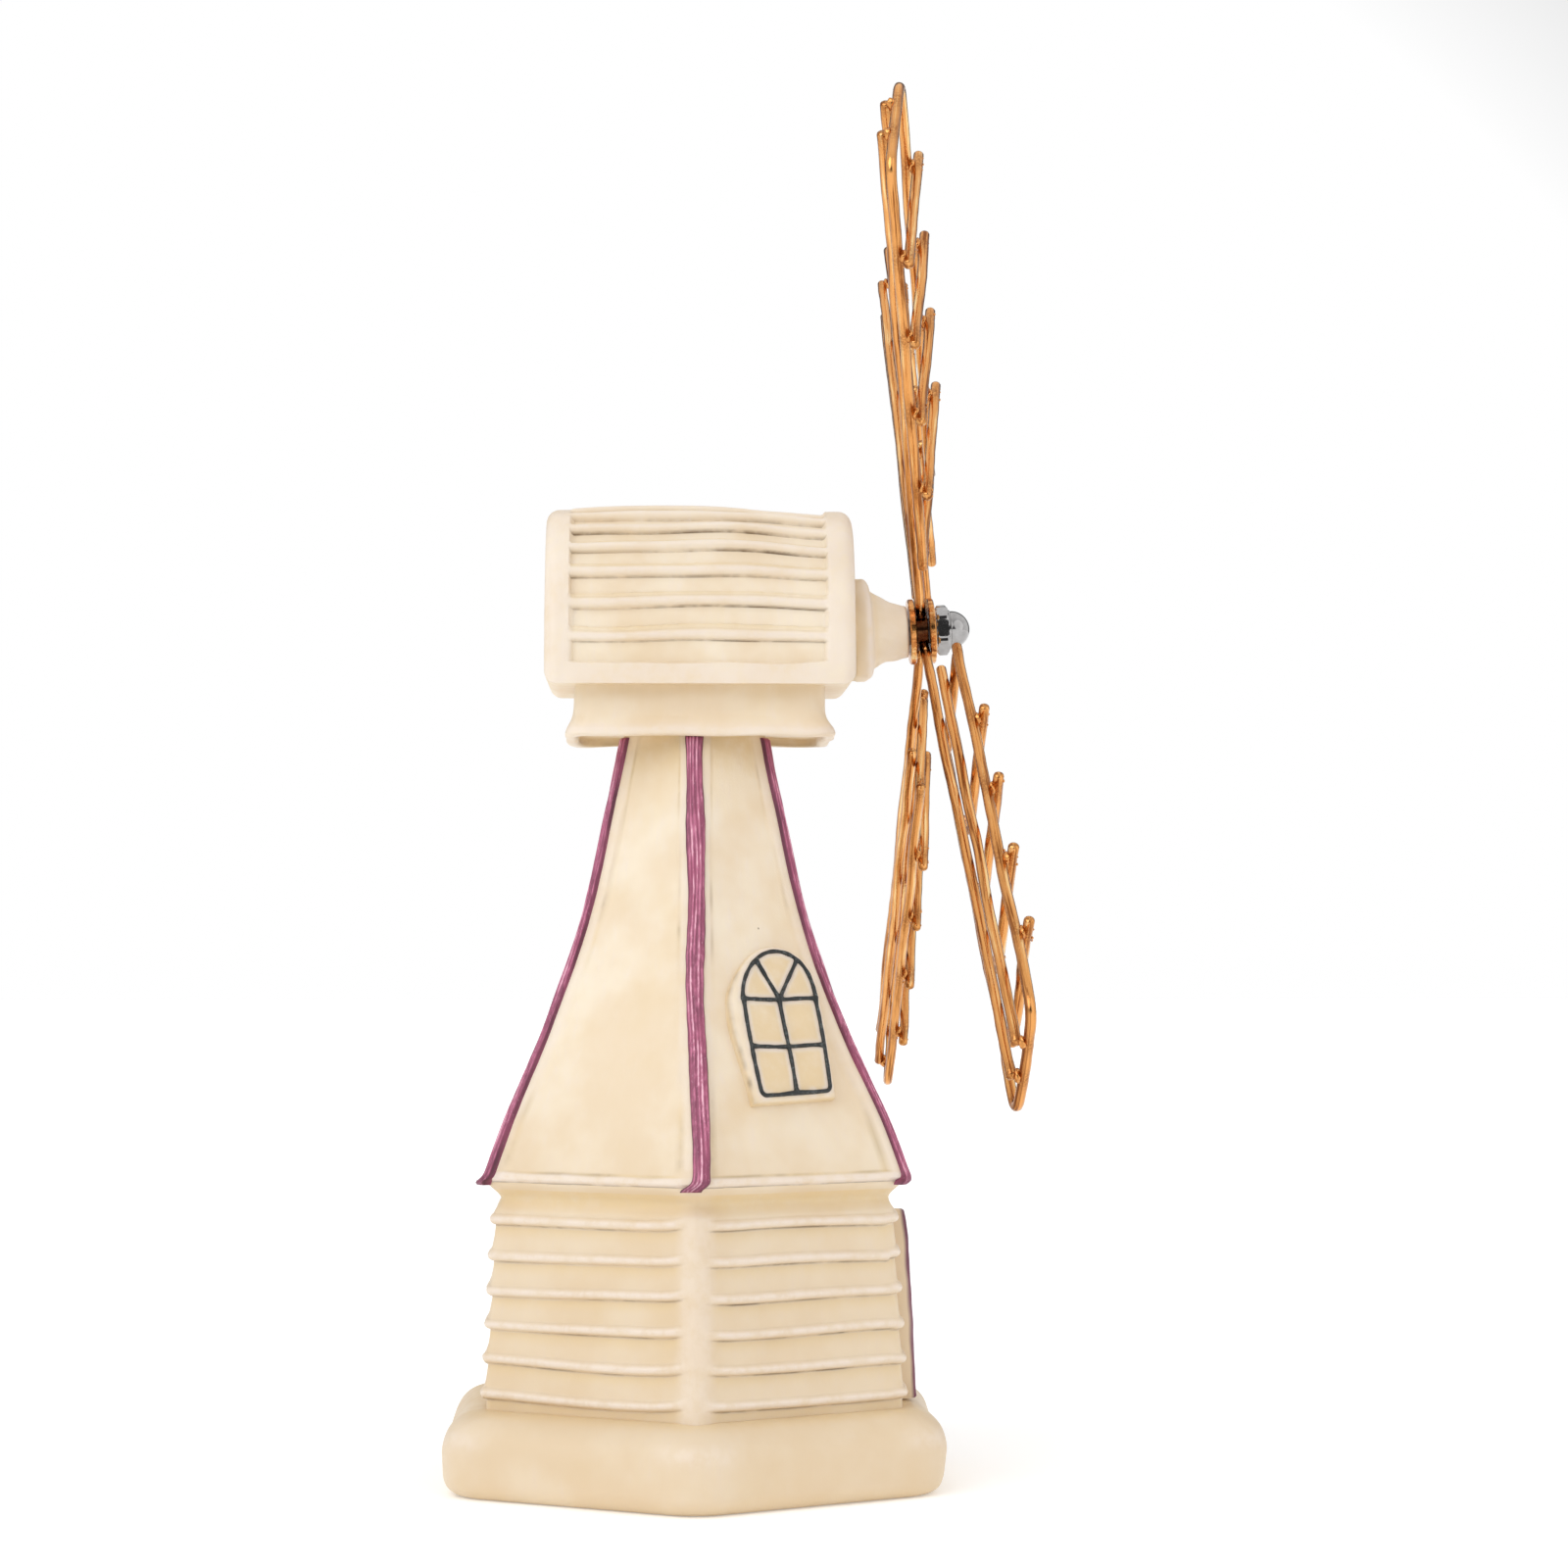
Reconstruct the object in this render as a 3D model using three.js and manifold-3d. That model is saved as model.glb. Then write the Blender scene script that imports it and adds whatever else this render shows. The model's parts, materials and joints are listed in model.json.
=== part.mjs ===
// Souvenir windmill: a cast six-sided mill with a turning rotor of four wire lattice sails.
// Millimetres, +Z up. The origin is the centre of the underside; the door and the sails face -Y.
import * as THREE from "three";
import { mergeVertices } from "three/addons/utils/BufferGeometryUtils.js";
import Module from "manifold-3d";

const wasm = await Module();
wasm.setup();

// ---- driving dimensions ----
const GAP = 0.3; // between castings that touch
const SIDES = 6;
const HALF_SIDE = Math.PI / SIDES;

const PLINTH = {
  apothem: 38.6,
  height: 13,
  cornerRadius: 8,
  footRadius: 3.2,
  shoulderWidth: 6.2,
  shoulderHeight: 6.3,
};
const STOREY = {
  top: 47.6,
  cornerRadius: 2.6,
  firstBead: 15.2,
  beadPitch: 5.4,
  beadCount: 6,
  beadApothem: 32.85, // at the lowest bead
  taper: 0.05, // apothem lost for each millimetre of height
  beadDepth: 0.95,
  beadHalfHeight: 0.75,
  coveApothem: 29.9,
};
const TOWER = {
  cornerFlat: 3.2,
  stations: 14,
  // apothem at chosen heights of the flared profile
  profile: [
    [32.7, 47.9],
    [29.4, 57],
    [23.4, 71],
    [17.5, 88],
    [13.3, 107],
    [11.2, 117.6],
  ],
};
const BATTEN = { width: 2.8, thickness: 0.9, gap: 0.2, top: 116.6 };
const WINDOW = {
  sill: 60.8, // height of the panel's lower edge
  sillProud: 1.6,
  head: 84.6,
  headProud: 0.6,
  width: 13.2,
  height: 23.2,
  rise: 7.9, // of the arched head
  forward: 2.2, // from the middle of the wall toward the front
  margin: 1.1,
  bar: 0.9,
  barDepth: 0.5,
  fanAngle: 62,
  faces: { left: 210, right: 330 }, // direction that each window looks in, degrees from +X
};
const DOOR = { width: 18, height: 29, band: 1.8, depth: 1.6, leafDepth: 1.1 };
const HEAD = {
  centreY: -0.75,
  ledgeBottom: 116.7,
  ledgeHalfX: 15.3,
  ledgeHalfY: 21.2,
  recessInset: 1.9,
  recessHeight: 1.3,
  neckInset: 1.5,
  neckTop: 124.5,
  roofBottom: 124.8,
  roofRise: 29.1,
  roofHalfX: 17,
  roofHalfY: 24.35,
  borderBack: 4,
  borderFront: 4.5,
  fieldDrop: 1,
  battens: 6, // on each slope, below the ridge one
  firstBatten: 15, // degrees up the arch
  battenStep: 11.7,
};
const AXLE = {
  hub: new THREE.Vector3(0, -36.4, 134.5),
  tilt: THREE.MathUtils.degToRad(3.55), // nose up
  studRadius: 2,
  bore: 2.08,
  fixedBore: 2.3,
  studBack: -24,
  studFront: 5.6,
};
const DISC = { radius: 5.25, thickness: 1, offset: 1.55 };
const NOSE = { collar: 8.15, collarFront: -8.1, rootRadius: 6.6, tipRadius: 4.3, tip: -2.3 };
const NUT = { acrossFlats: 7, back: 2.35, hexHeight: 2, domeRadius: 3.15 };
const ANCHOR = { front: -12.1, height: 3.2, pocketClearance: 0.3 };
const SAIL = {
  wire: 0.8,
  rootRadius: 3.6, // the stock starts here, between the hub discs
  wireEnd: 95,
  frameInner: 20,
  frameTip: 95,
  frameCorner: 3,
  trailingRail: 7,
  stockTip: -1.6, // the stock drifts this far sideways by its outer end
  middleRail: -8.9,
  leadingRail: -15.1,
  middleRailStart: 18.4,
  innerBar: 21,
  firstBar: 36.2,
  barPitch: 14.56,
  barCount: 4,
  barFrom: 9,
  barTo: -17.5,
  weldGap: 0.1,
};
// Each hand-made sail's place round the hub, its bend out of the hub's plane and its pitch, in
// degrees, and the shift of its stock toward one disc.
const SAILS = [
  { turn: 47.4, bend: -4.2, pitch: 8.6, shift: -0.2 },
  { turn: 137.9, bend: 2.1, pitch: 3.5, shift: 0.2 },
  { turn: 227.7, bend: -3.8, pitch: -6.9, shift: -0.2 },
  { turn: 317.1, bend: 1.2, pitch: 4.2, shift: 0.2 },
];
const WIRE_SIDES = 8;
const ROUND_SIDES = 32;

// ---- materials ----
const finish = (color, roughness, metalness) =>
  new THREE.MeshStandardMaterial({ color, roughness, metalness });
const cream = () => finish(0xead9b8, 0.6, 0);
const mauve = () => finish(0x9b557d, 0.5, 0);
const lead = () => finish(0x23282a, 0.5, 0);
const copper = () => finish(0xcd8241, 0.35, 1);
const chrome = () => finish(0xd5d7da, 0.1, 1);
const zinc = () => finish(0xa8abb0, 0.35, 1);

// ---- shape helpers ----
const { degToRad } = THREE.MathUtils;

function named(name, geometry, material, parent) {
  const mesh = new THREE.Mesh(geometry, material);
  mesh.name = name;
  parent.add(mesh);
  return mesh;
}

// Equal rings of points, each anticlockwise seen from the last ring's end, joined into one closed body.
function loft(rings) {
  const count = rings[0].length;
  const points = rings.flat();
  const faces = [];
  for (let r = 0; r < rings.length - 1; r++)
    for (let i = 0; i < count; i++) {
      const a = r * count + i;
      const b = r * count + ((i + 1) % count);
      faces.push(a, b, b + count, a, b + count, a + count);
    }
  const centre = (ring) =>
    ring.reduce((sum, p) => sum.add(p), new THREE.Vector3()).divideScalar(count);
  const low = points.push(centre(rings[0])) - 1;
  const high = points.push(centre(rings.at(-1))) - 1;
  const lastRing = (rings.length - 1) * count;
  for (let i = 0; i < count; i++) {
    const next = (i + 1) % count;
    faces.push(low, next, i, high, lastRing + i, lastRing + next);
  }
  return new THREE.BufferGeometry().setFromPoints(points).setIndex(faces);
}

// A regular hexagon with corners on +X and -X; one arc step leaves each corner as a flat.
function hexRing(apothem, radius, z, arcSteps) {
  const ring = [];
  for (let side = 0; side < SIDES; side++) {
    const corner = side * 2 * HALF_SIDE;
    const reach = (apothem - radius) / Math.cos(HALF_SIDE);
    for (let j = 0; j <= arcSteps; j++) {
      const angle = corner + (j / arcSteps - 0.5) * 2 * HALF_SIDE;
      ring.push(
        new THREE.Vector3(
          reach * Math.cos(corner) + radius * Math.cos(angle),
          reach * Math.sin(corner) + radius * Math.sin(angle),
          z,
        ),
      );
    }
  }
  return ring;
}

function rectRing(halfX, halfY, radius, centreY, z, arcSteps) {
  const ring = [];
  for (let quarter = 0; quarter < 4; quarter++) {
    const sx = quarter === 0 || quarter === 3 ? 1 : -1;
    const sy = quarter < 2 ? 1 : -1;
    for (let j = 0; j <= arcSteps; j++) {
      const angle = (quarter + j / arcSteps) * (Math.PI / 2);
      ring.push(
        new THREE.Vector3(
          sx * (halfX - radius) + radius * Math.cos(angle),
          centreY + sy * (halfY - radius) + radius * Math.sin(angle),
          z,
        ),
      );
    }
  }
  return ring;
}

function toSolid(geometry) {
  const bare = geometry.clone();
  bare.deleteAttribute("normal");
  bare.deleteAttribute("uv");
  const merged = mergeVertices(bare, 1e-4);
  return new wasm.Manifold(
    new wasm.Mesh({
      numProp: 3,
      vertProperties: merged.attributes.position.array,
      triVerts: new Uint32Array(merged.index.array),
    }),
  );
}

function toGeometry(solid) {
  const { vertProperties, triVerts } = solid.getMesh();
  const geometry = new THREE.BufferGeometry();
  geometry.setAttribute("position", new THREE.BufferAttribute(vertProperties, 3));
  geometry.setIndex(new THREE.BufferAttribute(triVerts, 1));
  return geometry;
}

// The first geometry with all the others cut away.
const cut = (geometry, ...tools) =>
  toGeometry(tools.reduce((solid, tool) => solid.subtract(toSolid(tool)), toSolid(geometry)));

// A turned shape along +Z, from [radius, height] pairs.
const turned = (profile, sides = ROUND_SIDES) =>
  new THREE.LatheGeometry(
    profile.map(([radius, height]) => new THREE.Vector2(radius, height)),
    sides,
  ).rotateX(Math.PI / 2);

const tube = (outer, inner, from, to) =>
  turned([
    [inner, from],
    [outer, from],
    [outer, to],
    [inner, to],
    [inner, from],
  ]);

const rod = (radius, from, to, sides = ROUND_SIDES) =>
  new THREE.CylinderGeometry(radius, radius, to - from, sides)
    .rotateX(Math.PI / 2)
    .translate(0, 0, (from + to) / 2);

const hexRod = (acrossFlats, from, to) =>
  rod(acrossFlats / 2 / Math.cos(HALF_SIDE), from, to, SIDES);

// A curve that is sampled at its own points, so that a straight run takes one step.
class StationCurve extends THREE.Curve {
  constructor(points) {
    super();
    this.points = points;
  }
  station(t) {
    return Math.round(t * (this.points.length - 1));
  }
  getPoint(t) {
    return this.points[this.station(t)].clone();
  }
  getPointAt(t) {
    return this.getPoint(t);
  }
  getTangentAt(t) {
    const i = this.station(t);
    const here = this.points[i];
    const before = this.points[i - 1] ?? here;
    const after = this.points[i + 1] ?? here;
    const into = here.clone().sub(before).normalize();
    return after.clone().sub(here).normalize().add(into).normalize();
  }
}

function bentWire(points, radius) {
  const section = new THREE.Shape().absarc(0, 0, radius, 0, 2 * Math.PI);
  return new THREE.ExtrudeGeometry(section, {
    steps: points.length - 1,
    curveSegments: WIRE_SIDES,
    extrudePath: new StationCurve(points),
  });
}

// A straight wire in the sail's own plane, from one point to another.
function straightWire(from, to, z) {
  const start = new THREE.Vector3(from[0], from[1], z);
  const along = new THREE.Vector3(to[0], to[1], z).sub(start);
  const turn = new THREE.Quaternion().setFromUnitVectors(
    new THREE.Vector3(0, 1, 0),
    along.clone().normalize(),
  );
  return new THREE.CylinderGeometry(SAIL.wire, SAIL.wire, along.length(), WIRE_SIDES)
    .applyQuaternion(turn)
    .translate(...start.addScaledVector(along, 0.5).toArray());
}

// A doorway shape: upright sides with an arched head, its foot at y = 0.
function archShape(width, height, { inset = 0, rise = width / 2 } = {}) {
  const half = width / 2 - inset;
  const spring = height - rise;
  const shape = new THREE.Shape();
  shape.moveTo(-half, inset);
  shape.lineTo(half, inset);
  shape.lineTo(half, spring);
  shape.absellipse(0, spring, half, rise - inset, 0, Math.PI);
  shape.closePath();
  return shape;
}

const slab = (shape, from, to, curveSegments = 10) =>
  new THREE.ExtrudeGeometry(shape, {
    depth: to - from,
    bevelEnabled: false,
    curveSegments,
  }).translate(0, 0, from);

// A group standing on a wall: X runs along the wall, Y up it and Z out of it.
function wallGroup(direction, apothem, z, lean) {
  const out = new THREE.Vector3(Math.cos(direction), Math.sin(direction), 0);
  const along = new THREE.Vector3(-Math.sin(direction), Math.cos(direction), 0);
  const group = new THREE.Group();
  group.position.copy(out).multiplyScalar(apothem).setZ(z);
  const up = new THREE.Vector3(0, 0, Math.cos(lean)).addScaledVector(out, -Math.sin(lean));
  const normal = new THREE.Vector3().crossVectors(along, up);
  group.setRotationFromMatrix(new THREE.Matrix4().makeBasis(along, up, normal));
  group.updateMatrix();
  return group;
}

// ---- plinth ----
function plinthGeometry() {
  const { apothem, height, cornerRadius, footRadius, shoulderWidth, shoulderHeight } = PLINTH;
  const arcs = [0, 0.25, 0.5, 0.75, 1].map((t) => (t * Math.PI) / 2);
  const foot = arcs.map((a) => [
    apothem - footRadius + footRadius * Math.sin(a),
    footRadius - footRadius * Math.cos(a),
  ]);
  const shoulder = arcs.map((a) => [
    apothem - shoulderWidth + shoulderWidth * Math.cos(a),
    height - shoulderHeight + shoulderHeight * Math.sin(a),
  ]);
  return loft([...foot, ...shoulder].map(([a, z]) => hexRing(a, cornerRadius, z, 4)));
}

// ---- lower storey, with a half-round bead along the foot of each board ----
const beadApothemAt = (z) => STOREY.beadApothem - (z - STOREY.firstBead) * STOREY.taper;

function storeyGeometry() {
  const { top, cornerRadius, firstBead, beadPitch, beadCount } = STOREY;
  const { beadDepth, beadHalfHeight, coveApothem } = STOREY;
  const foot = PLINTH.height + GAP;
  const outline = [[beadApothemAt(foot) - beadDepth, foot]];
  for (let i = 0; i < beadCount; i++) {
    const z = firstBead + i * beadPitch;
    const face = beadApothemAt(z);
    outline.push(
      [face - beadDepth, z - beadHalfHeight],
      [face - beadDepth * 0.2, z - beadHalfHeight * 0.7],
      [face, z],
      [face - beadDepth * 0.2, z + beadHalfHeight * 0.7],
      [face - beadDepth, z + beadHalfHeight * 1.3],
    );
  }
  outline.push([coveApothem, top - 2.6], [coveApothem + 0.6, top - 1], [coveApothem + 1.8, top]);
  return loft(outline.map(([a, z]) => hexRing(a, cornerRadius, z, 2)));
}

// ---- tower ----
const towerCurve = new THREE.SplineCurve(
  TOWER.profile.map(([apothem, z]) => new THREE.Vector2(apothem, z)),
);
const towerStations = towerCurve.getSpacedPoints(TOWER.stations);

function towerApothemAt(z) {
  const i = Math.max(
    1,
    towerStations.findIndex((p) => p.y >= z - 1e-6),
  );
  const [a, b] = [towerStations[i - 1], towerStations[i]];
  return THREE.MathUtils.mapLinear(z, a.y, b.y, a.x, b.x);
}

const towerGeometry = (grow = 0) =>
  loft(towerStations.map((p) => hexRing(p.x + grow, TOWER.cornerFlat, p.y, 1)));

// A strip that lies along one corner of the tower.
function battenGeometry(corner) {
  const { width, thickness, gap, top } = BATTEN;
  const stations = towerStations.filter((p) => p.y < top - 1);
  stations.push(new THREE.Vector2(towerApothemAt(top), top));
  const rings = stations.map((p) => {
    const reach = (p.x - TOWER.cornerFlat) / Math.cos(HALF_SIDE);
    const inner = reach + TOWER.cornerFlat * Math.cos(HALF_SIDE) + gap;
    const outer = inner + thickness;
    const half = width / 2;
    return [
      new THREE.Vector3(inner, -half, p.y),
      new THREE.Vector3(outer, -half, p.y),
      new THREE.Vector3(outer, half, p.y),
      new THREE.Vector3(inner, half, p.y),
    ];
  });
  return loft(rings).rotateZ(corner);
}

// ---- windows: a flat arched panel and the raised bars on it ----
function windowPanes() {
  const { width, height, rise, bar, fanAngle } = WINDOW;
  const outerWidth = width + bar;
  const spring = height - rise + bar / 2;
  const paneWidth = (outerWidth - 3 * bar) / 2;
  const paneHeight = (spring - 2.5 * bar) / 2;
  const panes = [];
  for (const side of [0, 1])
    for (const row of [0, 1]) {
      const x = -outerWidth / 2 + bar + side * (paneWidth + bar);
      const y = bar + row * (paneHeight + bar);
      const pane = new THREE.Shape();
      pane.moveTo(x, y).lineTo(x + paneWidth, y).lineTo(x + paneWidth, y + paneHeight);
      panes.push(pane.lineTo(x, y + paneHeight).closePath());
    }
  const radius = outerWidth / 2 - bar;
  const reach = rise - bar / 2;
  const trim = Math.asin(bar / 2 / radius);
  const edges = [0, fanAngle, 180 - fanAngle, 180].map(degToRad);
  for (let i = 0; i < edges.length - 1; i++) {
    const middle = (edges[i] + edges[i + 1]) / 2;
    const apex = bar / 2 / Math.sin((edges[i + 1] - edges[i]) / 2);
    const pane = new THREE.Shape();
    pane.moveTo(apex * Math.cos(middle), spring + apex * Math.sin(middle));
    pane.absellipse(0, spring, radius, reach, edges[i] + trim, edges[i + 1] - trim);
    panes.push(pane.closePath());
  }
  return panes;
}

function windowBars() {
  const { width, height, rise, bar, barDepth } = WINDOW;
  const outline = archShape(width + bar, height + bar, { rise: rise + bar / 2 });
  const plate = slab(outline, 0, barDepth);
  return cut(plate, ...windowPanes().map((pane) => slab(pane, -1, barDepth + 1, 5)));
}

function addWindow(side, parent) {
  const { sill, sillProud, head, headProud, width, height, rise, margin, forward } = WINDOW;
  const low = towerApothemAt(sill) + sillProud;
  const high = towerApothemAt(head) + headProud;
  const lean = Math.atan2(low - high, head - sill);
  const group = wallGroup(degToRad(WINDOW.faces[side]), low, sill, lean);
  group.translateX(side === "left" ? forward : -forward);
  group.updateMatrix();
  const outline = archShape(width + 2 * margin, height + 2 * margin, { rise: rise + margin });
  const block = slab(outline, -5, 0);
  const wall = towerGeometry(GAP).applyMatrix4(group.matrix.clone().invert());
  named(`window_panel_${side}`, cut(block, wall), cream(), group);
  const bars = named(`window_bars_${side}`, windowBars(), lead(), group);
  bars.position.set(0, margin - WINDOW.bar / 2, 0.05);
  parent.add(group);
}

// ---- door ----
function addDoor(parent) {
  const { width, height, band, depth, leafDepth } = DOOR;
  const foot = PLINTH.height + GAP;
  const group = wallGroup(
    degToRad(270),
    beadApothemAt(foot) + GAP,
    foot,
    Math.atan(STOREY.taper),
  );
  const surround = archShape(width, height);
  surround.holes.push(archShape(width, height, { inset: band }));
  named("door_surround", slab(surround, 0, depth), mauve(), group);
  const leaf = archShape(width - 2 * (band + GAP), height - 2 * (band + GAP));
  const mesh = named("door_leaf", slab(leaf, 0, leafDepth), cream(), group);
  mesh.position.y = band + GAP;
  parent.add(group);
}

// ---- head: a ledge and neck, and the arched roof with its boards ----
function headBaseGeometry() {
  const { centreY, ledgeBottom, ledgeHalfX, ledgeHalfY, neckInset, neckTop } = HEAD;
  const outline = [
    [0.4, ledgeBottom],
    [0, ledgeBottom + 0.4],
    [0, ledgeBottom + 1.6],
    [0.5, ledgeBottom + 2.1],
    [1.1, ledgeBottom + 2.9],
    [neckInset, ledgeBottom + 4.2],
    [neckInset, neckTop],
  ];
  const block = loft(
    outline.map(([inset, z]) =>
      rectRing(ledgeHalfX - inset, ledgeHalfY - inset, 3, centreY, z, 3),
    ),
  );
  const inset = HEAD.recessInset;
  const recess = loft(
    [ledgeBottom - 1, ledgeBottom + HEAD.recessHeight].map((z) =>
      rectRing(ledgeHalfX - inset, ledgeHalfY - inset, 1.5, centreY, z, 2),
    ),
  );
  return cut(block, recess);
}

// Points round the arch, from the +X eave over the ridge to the -X eave.
function archRing(y, { inset = 0, boards = 0 }) {
  const { roofBottom, roofRise, roofHalfX, firstBatten, battenStep, battens } = HEAD;
  const point = (angle, drop) =>
    new THREE.Vector3(
      (roofHalfX - drop) * Math.cos(angle),
      y,
      roofBottom + inset + (roofRise - drop - inset) * Math.sin(angle),
    );
  const half = [{ angle: 0, drop: inset }];
  half.push({ angle: degToRad(firstBatten / 2), drop: inset });
  for (let i = 0; i < battens; i++) {
    const middle = firstBatten + i * battenStep;
    half.push(
      { angle: degToRad(middle - 2.6), drop: inset + boards },
      { angle: degToRad(middle - 1.6), drop: inset + boards * 0.1 },
      { angle: degToRad(middle + 1.6), drop: inset + boards * 0.1 },
      { angle: degToRad(middle + 2.6), drop: inset + boards },
    );
  }
  half.push({ angle: degToRad(84), drop: inset + boards });
  const right = half.map(({ angle, drop }) => point(angle, drop));
  const left = half.map(({ angle, drop }) => point(Math.PI - angle, drop)).reverse();
  return [...right, point(Math.PI / 2, inset), ...left];
}

function roofGeometry(axle) {
  const { centreY, roofHalfY, borderBack, borderFront, fieldDrop } = HEAD;
  const back = centreY + roofHalfY;
  const front = centreY - roofHalfY;
  const step = 0.2;
  const body = loft([
    archRing(back, { inset: 1.6 }),
    archRing(back - 0.6, { inset: 0.5 }),
    archRing(back - 1.8, {}),
    archRing(back - borderBack, {}),
    archRing(back - borderBack - step, { boards: fieldDrop }),
    archRing(front + borderFront + step, { boards: fieldDrop }),
    archRing(front + borderFront, {}),
    archRing(front + 1.8, {}),
    archRing(front + 0.6, { inset: 0.5 }),
    archRing(front, { inset: 1.6 }),
  ]);
  const clearance = ANCHOR.pocketClearance;
  const pocketBack = ANCHOR.front - ANCHOR.height - clearance;
  const socket = rod(AXLE.fixedBore, AXLE.studBack - GAP, 0).applyMatrix4(axle.matrix);
  const pocket = hexRod(NUT.acrossFlats + 2 * clearance, pocketBack, 0).applyMatrix4(axle.matrix);
  return cut(body, socket, pocket);
}

// ---- axle: local +Z runs along it to the front, +X up and +Y to the left-hand side ----
function axleGroup() {
  const front = new THREE.Vector3(0, -Math.cos(AXLE.tilt), Math.sin(AXLE.tilt));
  const up = new THREE.Vector3(0, Math.sin(AXLE.tilt), Math.cos(AXLE.tilt));
  const side = new THREE.Vector3().crossVectors(front, up);
  const group = new THREE.Group();
  group.position.copy(AXLE.hub);
  group.setRotationFromMatrix(new THREE.Matrix4().makeBasis(up, side, front));
  group.updateMatrix();
  return group;
}

function noseGeometry(axle) {
  const { collar, collarFront, rootRadius, tipRadius, tip } = NOSE;
  const bore = AXLE.fixedBore;
  const back = -14;
  const profile = [
    [bore, back],
    [collar, back],
    [collar, collarFront - 0.6],
    [collar - 0.5, collarFront],
  ];
  const steps = 6;
  for (let i = 0; i <= steps; i++) {
    const t = i / steps;
    profile.push([
      tipRadius + (rootRadius - tipRadius) * (1 - t) ** 2,
      THREE.MathUtils.lerp(collarFront + 0.1, tip, t),
    ]);
  }
  profile.push([bore, tip], [bore, back]);
  const faceY = HEAD.centreY - HEAD.roofHalfY - GAP;
  const head = new THREE.BoxGeometry(40, 40, 40)
    .translate(0, faceY + 20, AXLE.hub.z)
    .applyMatrix4(axle.matrix.clone().invert());
  return cut(turned(profile), head);
}

function domeNutGeometry() {
  const { acrossFlats, back, hexHeight, domeRadius } = NUT;
  const hex = toSolid(hexRod(acrossFlats, back, back + hexHeight));
  const profile = [[0, back + hexHeight - 0.5], [domeRadius, back + hexHeight - 0.5]];
  const steps = 8;
  for (let i = 0; i <= steps; i++) {
    const angle = (i / steps) * (Math.PI / 2);
    const height = back + hexHeight + 0.4 + domeRadius * Math.sin(angle);
    profile.push([i === steps ? 0 : domeRadius * Math.cos(angle), height]);
  }
  const bore = toSolid(rod(AXLE.fixedBore, back - 1, AXLE.studFront + GAP));
  return toGeometry(hex.add(toSolid(turned(profile, 24))).subtract(bore));
}

// ---- one sail, in three layers: stock and middle rail, then the frame, then the cross bars ----
function addSail(name, { turn, bend, pitch, shift }, axle) {
  const { wire, weldGap, rootRadius, wireEnd, frameInner, frameTip, frameCorner } = SAIL;
  const { trailingRail, middleRail, leadingRail, barFrom, barTo } = SAIL;
  const arm = new THREE.Group();
  arm.rotation.z = degToRad(turn);
  const sail = new THREE.Group();
  sail.position.set(DISC.radius, 0, shift);
  sail.rotation.set(-degToRad(pitch), -degToRad(bend), 0, "YXZ");
  arm.add(sail);
  axle.add(arm);
  const layer = 2 * wire + weldGap;
  const at = (radius) => radius - DISC.radius;
  const straight = (piece, from, to, z) =>
    named(`${name}_${piece}`, straightWire(from, to, z), copper(), sail);

  straight("stock", [at(rootRadius), 0], [at(wireEnd), SAIL.stockTip], 0);
  straight("middle_rail", [at(SAIL.middleRailStart), middleRail], [at(wireEnd), middleRail], 0);

  const corner = (x, y, from) =>
    [0, 1, 2, 3, 4].map((i) => {
      const angle = from - (i / 4) * (Math.PI / 2);
      return new THREE.Vector3(
        x + frameCorner * Math.cos(angle),
        y + frameCorner * Math.sin(angle),
        layer,
      );
    });
  const cornerX = at(frameTip) - frameCorner;
  const route = [
    new THREE.Vector3(at(frameInner), trailingRail, layer),
    ...corner(cornerX, trailingRail - frameCorner, Math.PI / 2),
    ...corner(cornerX, leadingRail + frameCorner, 0),
    new THREE.Vector3(at(frameInner), leadingRail, layer),
  ];
  named(`${name}_frame`, bentWire(route, wire), copper(), sail);

  const inner = at(SAIL.innerBar);
  const clear = wire + weldGap;
  straight("inner_bar", [inner, trailingRail - clear], [inner, leadingRail + clear], layer);
  for (let i = 0; i < SAIL.barCount; i++) {
    const x = at(SAIL.firstBar + i * SAIL.barPitch);
    straight(`bar_${i + 1}`, [x, barFrom], [x, barTo], 2 * layer);
  }
}

// ---- assembly ----
const group = new THREE.Group();
named("base_plinth", plinthGeometry(), cream(), group);
named("lower_storey", storeyGeometry(), cream(), group);
named("tower_body", towerGeometry(), cream(), group);
for (let i = 0; i < SIDES; i++)
  named(`corner_batten_${i + 1}`, battenGeometry(i * 2 * HALF_SIDE), mauve(), group);
addWindow("left", group);
addWindow("right", group);
addDoor(group);
named("head_base", headBaseGeometry(), cream(), group);

const axle = axleGroup();
group.add(axle);
named("head_roof", roofGeometry(axle), cream(), group);
named("nose_cone", noseGeometry(axle), cream(), axle);
named("axle_stud", rod(AXLE.studRadius, AXLE.studBack, AXLE.studFront, 24), zinc(), axle);
const anchorBack = ANCHOR.front - ANCHOR.height;
const anchorBore = rod(AXLE.fixedBore, anchorBack - 1, 0);
const anchor = cut(hexRod(NUT.acrossFlats, anchorBack, ANCHOR.front), anchorBore);
named("anchor_nut", anchor, zinc(), axle);
named("dome_nut", domeNutGeometry(), chrome(), axle);

const halfDisc = DISC.thickness / 2;
for (const [name, z] of [["hub_disc_rear", -DISC.offset], ["hub_disc_front", DISC.offset]])
  named(name, tube(DISC.radius, AXLE.bore, z - halfDisc, z + halfDisc), copper(), axle);
const bushHalf = DISC.offset - halfDisc - SAIL.weldGap;
named("hub_bush", tube(3.1, AXLE.bore, -bushHalf, bushHalf), copper(), axle);
SAILS.forEach((sail, i) => addSail(`sail_${i + 1}`, sail, axle));

export default group;
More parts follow.
